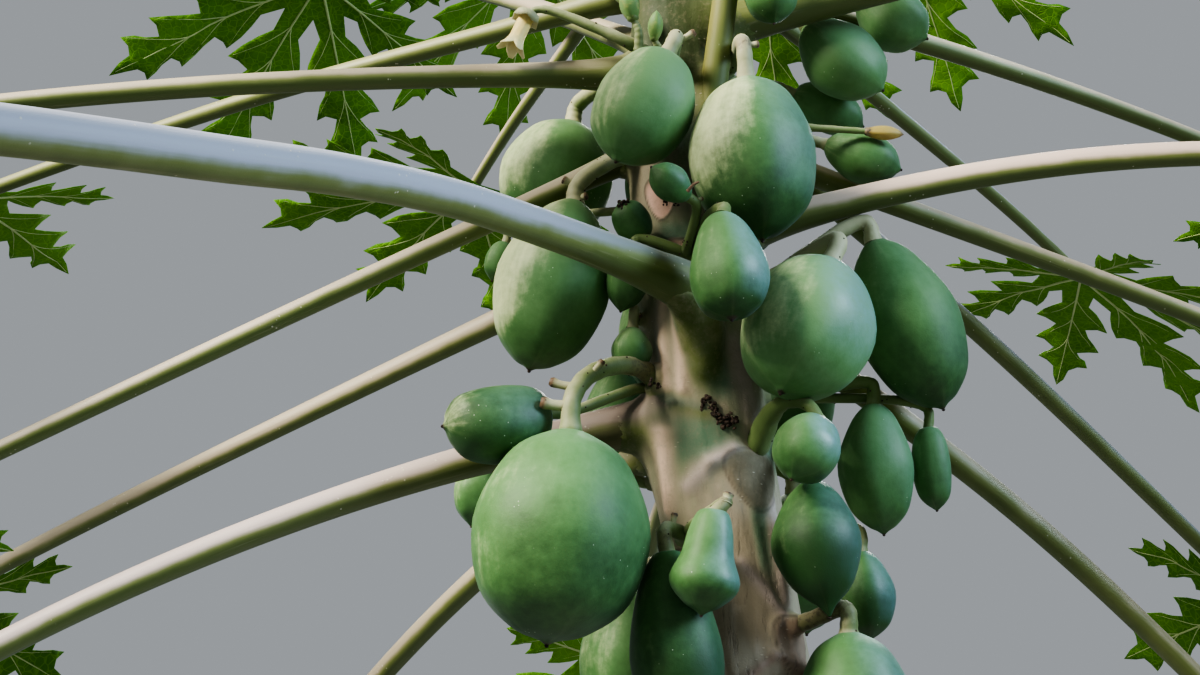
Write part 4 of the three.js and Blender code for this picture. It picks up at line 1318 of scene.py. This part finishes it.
bladePlan = {
    "lobeTurns": [-116, -76, -38, 0, 38, 76, 116],
    "lobeLengths": [0.56, 0.8, 0.95, 1, 0.95, 0.8, 0.56],
    "notchReach": 0.2, "stalkNotchReach": 0.06,
    # A lobe's side from its root to its tip, as shares of its length: along and out
    "lobeSide": [
        (0.31, 0.058), (0.37, 0.098), (0.44, 0.134), (0.525, 0.162), (0.520, 0.118), (0.535, 0.066),
        (0.60, 0.088), (0.66, 0.122), (0.735, 0.148), (0.722, 0.104), (0.735, 0.054),
        (0.79, 0.074), (0.83, 0.098), (0.885, 0.116), (0.872, 0.072), (0.885, 0.036), (0.94, 0.026),
    ],
    "sideVeins": [(0.26, 0.525, 0.162), (0.44, 0.735, 0.148), (0.62, 0.885, 0.116)],
    "gridStep": 0.027,
    "droop": 0.18, "roll": 14, "rollStep": 2.4, "fold": 0.05, "ruffle": 0.055, "ruffleScale": 5.5,
    "thickness": 0.9, "veinRoot": 0.0068, "veinTip": 0.0012, "sideVeinRoot": 0.0030, "veinDrop": 0.0022,
    "steps": 14, "sideSteps": 7, "foldReach": 0.16, "foldPower": 1.3,
    # The blades are joined in two pieces: which leaves each holds
    "pieces": {"leaf_blades_lower": (1, 13), "leaf_blades_upper": (14, 33)},
}


# A point of a lobe that is turned away from the middle one
def turnedOut(turn, along, aside):
    c, s = math.cos(math.radians(turn)), math.sin(math.radians(turn))
    return (along * c - aside * s, along * s + aside * c)


def bladeOutline():
    plan = bladePlan
    outline = []
    nextTurns = plan["lobeTurns"][1:] + [None]
    for turn, after, size in zip(plan["lobeTurns"], nextTurns, plan["lobeLengths"]):
        outline += [turnedOut(turn, along * size, -out * size) for along, out in plan["lobeSide"]]
        outline.append(turnedOut(turn, size, 0))
        outline += [turnedOut(turn, along * size, out * size) for along, out in reversed(plan["lobeSide"])]
        if after is None:
            outline.append(turnedOut(180, plan["stalkNotchReach"], 0))
        else:
            outline.append(turnedOut((turn + after) / 2, plan["notchReach"], 0))
    return outline


def veinLines():
    plan = bladePlan
    veins = []
    for turn, size in zip(plan["lobeTurns"], plan["lobeLengths"]):
        c, s = math.cos(math.radians(turn)), math.sin(math.radians(turn))
        spin = np.array([[c, -s], [s, c]])
        share = np.linspace(0, 0.975, plan["steps"])
        line = np.stack([share * size, np.zeros(plan["steps"])], axis=1) @ spin.T
        half = plan["veinRoot"] + (plan["veinTip"] - plan["veinRoot"]) * share
        veins.append({"points": line, "half": half, "main": True})
        share = np.linspace(0, 0.93, plan["sideSteps"])
        for root, along, out in plan["sideVeins"]:
            for side in (-1, 1):
                x = (root + (along - root) * share) * size
                y = side * out * size * share ** 1.25
                thinning = plan["veinTip"] * 0.6 - plan["sideVeinRoot"]
                half = (plan["sideVeinRoot"] + thinning * share) * size
                veins.append({"points": np.stack([x, y], axis=1) @ spin.T, "half": half, "main": False})
    return veins


def insidePolygon(spots, outline):
    inside = np.zeros(len(spots), bool)
    ring = np.array(outline)
    after = np.roll(ring, -1, axis=0)
    for (x1, y1), (x2, y2) in zip(ring, after):
        crosses = (y1 > spots[:, 1]) != (y2 > spots[:, 1])
        with np.errstate(divide="ignore", invalid="ignore"):
            x = (x2 - x1) * (spots[:, 1] - y1) / (y2 - y1) + x1
        inside ^= crosses & (spots[:, 0] < x)
    return inside


def distanceToLines(spots, lines):
    best = np.full(len(spots), 9.0)
    for line in lines:
        for a, b in zip(line[:-1], line[1:]):
            run = b - a
            t = np.clip(((spots - a) @ run) / (run @ run), 0, 1)
            best = np.minimum(best, np.linalg.norm(spots - a - t[:, None] * run, axis=1))
    return best


# A blade of unit length, flat about the end of its stalk, with its middle lobe along +X
def bladeTemplate():
    plan = bladePlan
    outline = bladeOutline()
    veins = veinLines()
    mains = [vein["points"] for vein in veins if vein["main"]]

    def fold(spots):  # 0 on a lobe's main vein, 1 away from it
        return np.clip(distanceToLines(spots, mains) / plan["foldReach"], 0, 1) ** plan["foldPower"]

    step = plan["gridStep"]
    rows = []
    for j, y in enumerate(np.arange(-1.05, 1.05, step * 0.866)):
        xs = np.arange(-0.8, 1.05, step) + (step / 2 if j % 2 else 0)
        rows.append(np.stack([xs, np.full(len(xs), y)], axis=1))
    grid = np.concatenate(rows)
    grid = grid[insidePolygon(grid, outline)]
    edge = np.array(outline)
    gap = distanceToLines(grid, [np.vstack([edge, edge[:1]])])
    spots = [Vector(p) for p in outline] + [Vector(p) for p in grid[gap > step * 0.45]]
    corners, _, faces, *_ = geometry.delaunay_2d_cdt(spots, [], [list(range(len(outline)))], 1, 1e-6)
    corners = np.array([tuple(v) for v in corners])
    flat = np.column_stack([corners, np.zeros(len(corners))])
    sheet = meshOf("blade sheet", flat, [tuple(face) for face in faces], attributes={
        "flat": ("FLOAT_VECTOR", flat), "edge": ("FLOAT", fold(corners))})
    points, edges, thick = [], [], []
    for vein in veins:
        first = len(points)
        points.extend((x, y, 0) for x, y in vein["points"])
        edges.extend((first + k, first + k + 1) for k in range(len(vein["points"]) - 1))
        thick.extend(vein["half"])
    points = np.array(points)
    ribs = meshOf("blade veins", points, edges=edges, attributes={
        "flat": ("FLOAT_VECTOR", points), "edge": ("FLOAT", fold(points[:, :2])),
        "thick": ("FLOAT", thick)})
    return newObject("blade_sheet_template", sheet), newObject("blade_vein_template", ribs)


# One point for each leaf at its stalk's end, holding how its blade lies
def bladeSeats(name, leaves):
    spots, values = [], {"facing": [], "upward": [], "size": [], "shift": [], "tone": []}
    for leaf in leaves:
        number = leaf["number"]
        tip = stalkLine(leaf, 2)[-1]
        roll = math.radians(bladePlan["roll"] * math.sin((number - 1) * bladePlan["rollStep"]))
        turned = (Matrix.Rotation(math.radians(leaf["turn"]), 3, "Z")
                  @ Matrix.Rotation(math.radians(leaf["dip"]), 3, "Y") @ Matrix.Rotation(roll, 3, "X"))
        spots.append(tip * mm)
        values["facing"].append(tuple(turned.to_euler()))
        values["upward"].append(tuple(turned @ Vector((0, 0, 1))))
        values["size"].append(leaf["blade"] * mm)
        values["shift"].append((number * 3.7, number * 1.9, number * 0.8))
        values["tone"].append((number * 0.618) % 1)
    kinds = {"size": "FLOAT", "tone": "FLOAT"}
    attributes = {key: (kinds.get(key, "FLOAT_VECTOR"), value) for key, value in values.items()}
    return newObject(name + "_seats", meshOf(name, spots, attributes=attributes))


def makeBlades():
    plan = bladePlan
    sheet, veins = bladeTemplate()
    bend = {"Droop": plan["droop"], "Ruffle": plan["ruffle"], "Ruffle scale": plan["ruffleScale"],
            "Fold": plan["fold"]}
    made = []
    for name, (first, last) in plan["pieces"].items():
        leaves = allLeaves[first - 1:last]
        blades = grown(name, bladeSeats(name, leaves), bladeTree, {
            **bend, "Piece": sheet, "Drop": 0.0, "Material": skins["bladeTop"]})
        blades.data.materials.append(skins["bladeUnder"])
        thicken = blades.modifiers.new("thickness", "SOLIDIFY")
        thicken.thickness = plan["thickness"] * mm
        thicken.offset = -1
        thicken.material_offset = 1
        ribs = grown(name.replace("blades", "veins"), bladeSeats(name + "_veins", leaves), veinTree, {
            **bend, "Piece": veins, "Drop": plan["veinDrop"], "Sides": 5, "Material": skins["vein"]})
        made.append((blades, ribs, leaves))
    bpy.data.objects.remove(sheet)
    bpy.data.objects.remove(veins)
    return made


# Plants one piece on each spot, turned and sized as listed
def planted(name, piece, spots, facing, size, material, more=None):
    attributes = {"facing": ("FLOAT_VECTOR", facing), "size": ("FLOAT_VECTOR", size), **(more or {})}
    seats = newObject(name + "_seats", meshOf(name + "_seats", spots, attributes=attributes))
    return grown(name, seats, plantingTree, {"Piece": piece, "Material": material})


# The dried star at each fruit's tip; its sizes are shares of the star's own radius
apexPlan = {"petals": 5, "rim": 1.0, "notch": 0.62, "hub": 0.42, "proud": 0.5, "least": 1.5, "share": 0.007,
            "tall": 1.5}


def makeApexScars():
    plan = apexPlan
    count = plan["petals"] * 2
    spin = [2 * math.pi * k / count for k in range(count)]
    reach = [plan["rim"] if k % 2 else plan["notch"] for k in range(count)]
    rim = [(out * math.cos(a), out * math.sin(a), 0) for a, out in zip(spin, reach)]
    hub = [(plan["hub"] * x, plan["hub"] * y, plan["proud"]) for x, y, _ in rim]
    faces = [(k, (k + 1) % count, count + (k + 1) % count, count + k) for k in range(count)]
    faces.append(tuple(range(count, 2 * count)))
    faces.append(tuple(range(count))[::-1])
    star = newObject("apex_star", meshOf("apex_star", rim + hub, faces))
    spots, facing, size = [], [], []
    for bunch in bunchList:
        for fruit in bunch["fruit"]:
            stem, hang = fruitSeat(fruit)
            spots.append((stem + hang * (fruit["long"] + fruitPlan["nipple"] - 0.5)) * mm)
            facing.append(tuple(Vector(hang).to_track_quat("Z", "Y").to_euler()))
            wide = (plan["least"] + fruit["wide"] * plan["share"]) * mm
            size.append((wide, wide, wide * plan["tall"]))
    made = planted("fruit_apex_scars", star, spots, facing, size, skins["dry"])
    bpy.data.objects.remove(star)
    return made


# A small piece whose points also hold how far up it they lie
def smallPiece(name, points, faces):
    part = [point[2] for point in points]
    return newObject(name, meshOf(name, points, faces, attributes={"part": ("FLOAT", part)}))


# A closed round piece about +Z, one unit long and wide, with a pointed tip and twisted ridges
def budPiece():
    around, rings = 15, 11
    points = []
    for t in np.linspace(0, 1, rings):
        half = 0.5 * math.sin(math.pi * min(1, 0.13 + 0.87 * t) ** 1.15) ** 0.75 + 0.01
        for turn in np.linspace(0, 2 * np.pi, around, endpoint=False):
            r = half * (1 + 0.10 * math.cos(5 * turn + 2.2 * t))
            points.append((r * math.cos(turn), r * math.sin(turn), t))
    return smallPiece("bud_piece", points, closedTube(rings, around))


# Five petals that rise as a tube and roll outwards at their tips
def petalPiece():
    steps, across = 10, 5
    points, faces = [], []
    for petal in range(5):
        first = len(points)
        for t in np.linspace(0, 1, steps):
            half = 0.40 * math.sin(math.pi * (0.16 + 0.80 * t)) ** 0.6 * (1 - 0.30 * t ** 4)
            out = 0.15 + 0.06 * t + 0.75 * max(0, t - 0.55) ** 1.7
            for s in np.linspace(-1, 1, across):
                turn = 2 * np.pi * petal / 5 + 0.7 * t + s * half / (out + 0.05) * 0.9
                r = out + 0.05 * (1 - s * s) * (1 - t)
                points.append((r * math.cos(turn), r * math.sin(turn), t - 0.30 * max(0, t - 0.72)))
        for i in range(steps - 1):
            for j in range(across - 1):
                a = first + i * across + j
                faces.append((a, a + 1, a + across + 1, a + across))
    return smallPiece("petal_piece", points, faces)


# The green cup with five teeth that holds a flower
def calyxPiece():
    around = 10
    rows = [(0.10, -0.05, 0), (0.30, 0.03, 0), (0.36, 0.17, 0.07), (0.31, 0.16, 0.07), (0.05, 0.03, 0)]
    points = []
    for half, height, tooth in rows:
        for k in range(around):
            turn = 2 * math.pi * k / around
            points.append((half * math.cos(turn), half * math.sin(turn), height + tooth * (k % 2)))
    return newObject("calyx_piece", meshOf("calyx_piece", points, closedTube(len(rows), around)))


# Flowering sprays: bare twigs in millimetres, and flowers with the way they point, length and width
blossomPlan = {
    "steps": 26, "thickness": 0.6,
    "twigs": [
        {"points": [(-330, -18, 2400), (-352, -46, 2398), (-384, -50, 2412), (-441, -46, 2437),
                    (-455, -45, 2436)],
         "root": 7.5, "tip": 3.2, "pale": 0.45},
        {"points": [(-345, -48, 2390), (-345, -56, 2408), (-350, -58, 2420)],
         "root": 5, "tip": 3, "pale": 0.4},
        {"points": [(-318, -48, 2384), (-326, -66, 2386), (-330, -70, 2392)],
         "root": 4.5, "tip": 2.8, "pale": 0.5},
        {"points": [(-236, -10, 2318), (-200, -22, 2318), (-160, -28, 2313), (-113, -30, 2309)],
         "root": 5.2, "tip": 3.0, "pale": 0.3},
        {"points": [(-306, -190, 2184), (-301, -194, 2189), (-296, -196, 2191)],
         "root": 1.7, "tip": 1.0, "pale": 0, "brown": True},
    ],
    "columns": ("kind", "place", "way", "long", "wide", "ripe"),
    "rows": [
        ("open", (-457, -45, 2434), (-0.42, -0.05, -1), 52, 40, 0.1),
        ("bud", (-350, -58, 2418), (-0.25, -0.35, 1), 36, 20, -1),
        ("bud", (-330, -70, 2390), (0.1, -0.5, 1), 30, 15, -0.8),
        ("bud", (-115, -30, 2309), (1, 0.02, -0.08), 40, 14, 1),
    ],
    # More of them further up and round the back, one on each turn of a rule, then how much longer and
    # wider than usual a flower or bud is, and how ripe
    "ruled": {"count": 14, "turn": 50, "turnStep": 137.5, "first": 2452, "step": 13, "out": 62,
              "long": 30, "wide": 16, "open": (1.3, 1.6, 0.1), "bud": (1, 1, -0.7)},
}


def blossomList():
    plan = blossomPlan["ruled"]
    blossoms = listed(blossomPlan, blossomPlan["rows"])
    twigs = []
    for k in range(plan["count"]):
        height = plan["first"] + k * plan["step"]
        foot = onAxis(height)
        outward = heading(plan["turn"] + k * plan["turnStep"])
        side = float(trunkRadius(height))
        out = side + plan["out"] * rng.uniform(0.5, 1)
        place = onAxis(height + rng.uniform(8, 26)) + outward * out
        way = outward * rng.uniform(0.3, 1) + np.array([0, 0, rng.uniform(-0.8, 0.6)])
        size = rng.uniform(0.7, 1.15)
        kind = "open" if k % 4 == 1 else "bud"
        longer, wider, ripe = plan[kind]
        blossoms.append({"kind": kind, "place": tuple(place), "way": tuple(way), "ripe": ripe,
                         "long": plan["long"] * size * longer, "wide": plan["wide"] * size * wider})
        twigs.append({"points": [foot + outward * side * 0.8, foot + outward * (side + 12), place],
                      "root": 4.5, "tip": 2.6, "pale": 0.45})
    return blossoms, twigs


# Bare twigs of the flowering sprays, drawn through their own few points
def sprayTwigs(sprays):
    count = blossomPlan["steps"]
    share = np.linspace(0, 1, count)
    twigs = []
    for spray in sprays:
        line = catmull(spray["points"], count)
        knobs = 1 + 0.10 * np.sin(share * 19 + len(twigs)) ** 6
        thick = (spray["root"] + (spray["tip"] - spray["root"]) * share) * knobs
        twigs.append({"points": line * mm, "thick": thick * mm, "pale": np.full(count, spray["pale"]),
                      "cut": np.full(count, 1.0 if "brown" in spray else 0.0)})
    return twigs


def makeBlossoms(blossoms):
    made = []
    for name, piece, kinds, skin in (
            ("flower_petals", petalPiece(), ["open"], "petal"),
            ("flower_buds", budPiece(), ["bud"], "petal"),
            ("flower_calyxes", calyxPiece(), ["open", "bud"], "fruitStalk")):
        chosen = [blossom for blossom in blossoms if blossom["kind"] in kinds]
        spots = [np.array(blossom["place"]) * mm for blossom in chosen]
        facing = [tuple(Vector(blossom["way"]).to_track_quat("Z", "Y").to_euler()) for blossom in chosen]
        size = [(blossom["wide"] * mm, blossom["wide"] * mm, blossom["long"] * mm) for blossom in chosen]
        ripe = [blossom["ripe"] for blossom in chosen]
        more = {"ripe": ("FLOAT", ripe), "pale": ("FLOAT", [0.75 if share >= 0 else 0.1 for share in ripe]),
                "cut": ("FLOAT", [0.8 if share == 1 else 0 for share in ripe])}
        made.append(planted(name, piece, spots, facing, size, skins[skin], more))
        bpy.data.objects.remove(piece)
    thicken = made[0].modifiers.new("thickness", "SOLIDIFY")
    thicken.thickness = blossomPlan["thickness"] * mm
    return made


# Clusters of dried bits: middle and half spread in millimetres, how many, and their size
driedPlan = [
    ((-281, -60, 2019), (5, 2, 7), 16, 3.2), ((-274, -60, 2009), (5, 2, 5), 14, 3.0),
    ((-263, -59, 2002), (9, 2, 6), 30, 3.4), ((-318, -66, 2218), (9, 3, 4), 12, 2.2),
    ((-330, -70, 2402), (6, 4, 6), 12, 2.0), ((-362, -78, 2213), (5, 4, 4), 16, 2.8),
    ((-332, -66, 2036), (7, 5, 3), 8, 2.6),
]
# Knobs on the fruit stalks: how many on a square metre, and their half width
knobPlan = {"Density": 1500.0, "Smallest": 0.5 * mm, "Largest": 1.3 * mm, "Seed": 5}


def makeDriedBits(lump):
    spots, facing, size = [], [], []
    for middle, spread, count, wide in driedPlan:
        for _ in range(count):
            spots.append((np.array(middle) + rng.normal(0, 0.6, 3) * spread) * mm)
            facing.append(tuple(rng.uniform(0, 6.28, 3)))
            size.append(tuple(wide * mm * rng.uniform(0.35, 1, 3)))
    return planted("dried_bits", lump, spots, facing, size, skins["dry"])


# A small lump of one unit's radius
def lumpPiece():
    mesh = bpy.data.meshes.new("lump")
    work = bmesh.new()
    bmesh.ops.create_icosphere(work, subdivisions=1, radius=1)
    work.to_mesh(mesh)
    work.free()
    return newObject("lump", mesh)


def makeStalkKnobs(stalks, lump):
    surface = newObject("knob_ground", stalks.data.copy())
    return grown("fruit_stalk_knobs", surface, scatterTree, {
        **knobPlan, "Lump": lump, "Material": skins["dry"]})


print("scene: trunk")
bark = trunkBark()
print("scene: leaf stalks")
stalks = grown("leaf_stalks", pathObject("leaf_stalks", leafStalks()), levelSweep, {
    "Sides": stalkPlan["sides"], "Material": skins["stalk"]})
print("scene: blades")
bladeSets = makeBlades()
print("scene: fruit")
fruits = fruitBodies()
blossoms, ruledTwigs = blossomList()
fruitPaths = fruitStalks() + sprayTwigs(blossomPlan["twigs"] + ruledTwigs)
fruitStems = grown("fruit_stalks", pathObject("fruit_stalks", fruitPaths), freeSweep, {
    "Sides": fruitStalkPlan["sides"], "Material": skins["fruitStalk"]})
for piece in (bark, stalks, fruits, fruitStems):
    noteLight(piece)
apexScars = makeApexScars()
lump = lumpPiece()
knobs = makeStalkKnobs(fruitStems, lump)
driedBits = makeDriedBits(lump)
bpy.data.objects.remove(lump)
print("scene: flowers")
flowers = makeBlossoms(blossoms)

# Where the photograph was taken from: below the crown, looking up at the fruit
cameraPlan = {"place": (-0.3841, -1.4489, 1.7118), "pitchUp": 15, "lens": 45}

skyPlan = {"colour": (0.80, 0.85, 0.90), "strength": 0.38, "look": "AgX - Medium High Contrast"}
# Lamps: where each stands and what it is aimed at in metres, its size, power, spread and colour
lampPlan = {
    "key": {"place": (-3.3, -1.9, 4.6), "aim": (-0.3, 0, 2.15), "size": 1.5, "power": 82, "spread": 62,
            "colour": (1, 0.94, 0.82)},
    "cool side": {"place": (2.5, -1.5, 3.4), "aim": (-0.25, 0, 2.1), "size": 1.5, "power": 30, "spread": 70,
                  "colour": (0.60, 0.79, 1)},
    "from behind": {"place": (0.6, 3.6, 4.4), "aim": (-0.3, 0, 2.2), "size": 2.2, "power": 48, "spread": 70,
                    "colour": (1, 1, 0.96)},
}
floorPlan = {"radius": 7, "sides": 96, "dark": (0.50, 0.50, 0.49), "light": (0.56, 0.56, 0.55)}


def makeFloor():
    plan = floorPlan
    turns = [2 * math.pi * k / plan["sides"] for k in range(plan["sides"])]
    rim = [(plan["radius"] * math.cos(turn), plan["radius"] * math.sin(turn), 0) for turn in turns]
    mesh = meshOf("floor", rim, [tuple(range(plan["sides"]))])
    material, book, shader = newMaterial("pale floor", {})
    grain = book.noise(book.objectSpot(), 3, 3)
    colour = book.mixColour(grain, plan["dark"], plan["light"])
    finished(book, shader, colour, 0.8 + grain * 0.1, grain, 0.05, 0.01)
    mesh.materials.append(material)
    newObject("floor", mesh)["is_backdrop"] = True


def makeLights():
    for name, plan in lampPlan.items():
        lamp = bpy.data.lights.new(name, "AREA")
        lamp.shape = "DISK"
        lamp.size = plan["size"]
        lamp.energy = plan["power"]
        lamp.spread = math.radians(plan["spread"])
        lamp.color = plan["colour"]
        made = bpy.data.objects.new(name, lamp)
        made.location = plan["place"]
        sight = Vector(plan["aim"]) - Vector(plan["place"])
        made.rotation_euler = sight.to_track_quat("-Z", "Y").to_euler()
        bpy.context.scene.collection.objects.link(made)
    world = bpy.data.worlds.new("pale sky")
    world.use_nodes = True
    background = world.node_tree.nodes["Background"]
    background.inputs["Color"].default_value = (*skyPlan["colour"], 1)
    background.inputs["Strength"].default_value = skyPlan["strength"]
    bpy.context.scene.world = world
    bpy.context.scene.view_settings.look = skyPlan["look"]


def makeCamera():
    lens = bpy.data.cameras.new("camera")
    lens.lens = cameraPlan["lens"]
    made = bpy.data.objects.new("camera", lens)
    made.location = cameraPlan["place"]
    made.rotation_euler = Euler((math.radians(90 + cameraPlan["pitchUp"]), 0, 0))
    bpy.context.scene.collection.objects.link(made)
    bpy.context.scene.camera = made


print("scene: stage")
makeFloor()
makeLights()
makeCamera()


# Hangs a piece on the root body and hides the CAD nodes it stands for
def attach(piece, slot, *nodes):
    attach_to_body(piece, "root")
    if nodes:
        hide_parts(*nodes)


attach(bark, "bark", "trunk")
attach(stalks, "leaf", *(leaf["node"] for leaf in treeLeaves))
for blades, ribs, leaves in bladeSets:
    attach(blades, "leaf", *(leaf["node"] for leaf in leaves if "node" in leaf))
    attach(ribs, "leaf")
attach(fruits, "fruit", *(bunch["name"] for bunch in bunchList))
attach(fruitStems, "fruit", *(bunch["name"] for bunch in bunchList))
for piece in (apexScars, knobs, driedBits, *flowers):
    attach(piece, "fruit")

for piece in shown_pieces():
    count = sum(len(face.vertices) - 2 for face in piece.data.polygons)
    print("scene: piece", piece.name, count, "triangles")
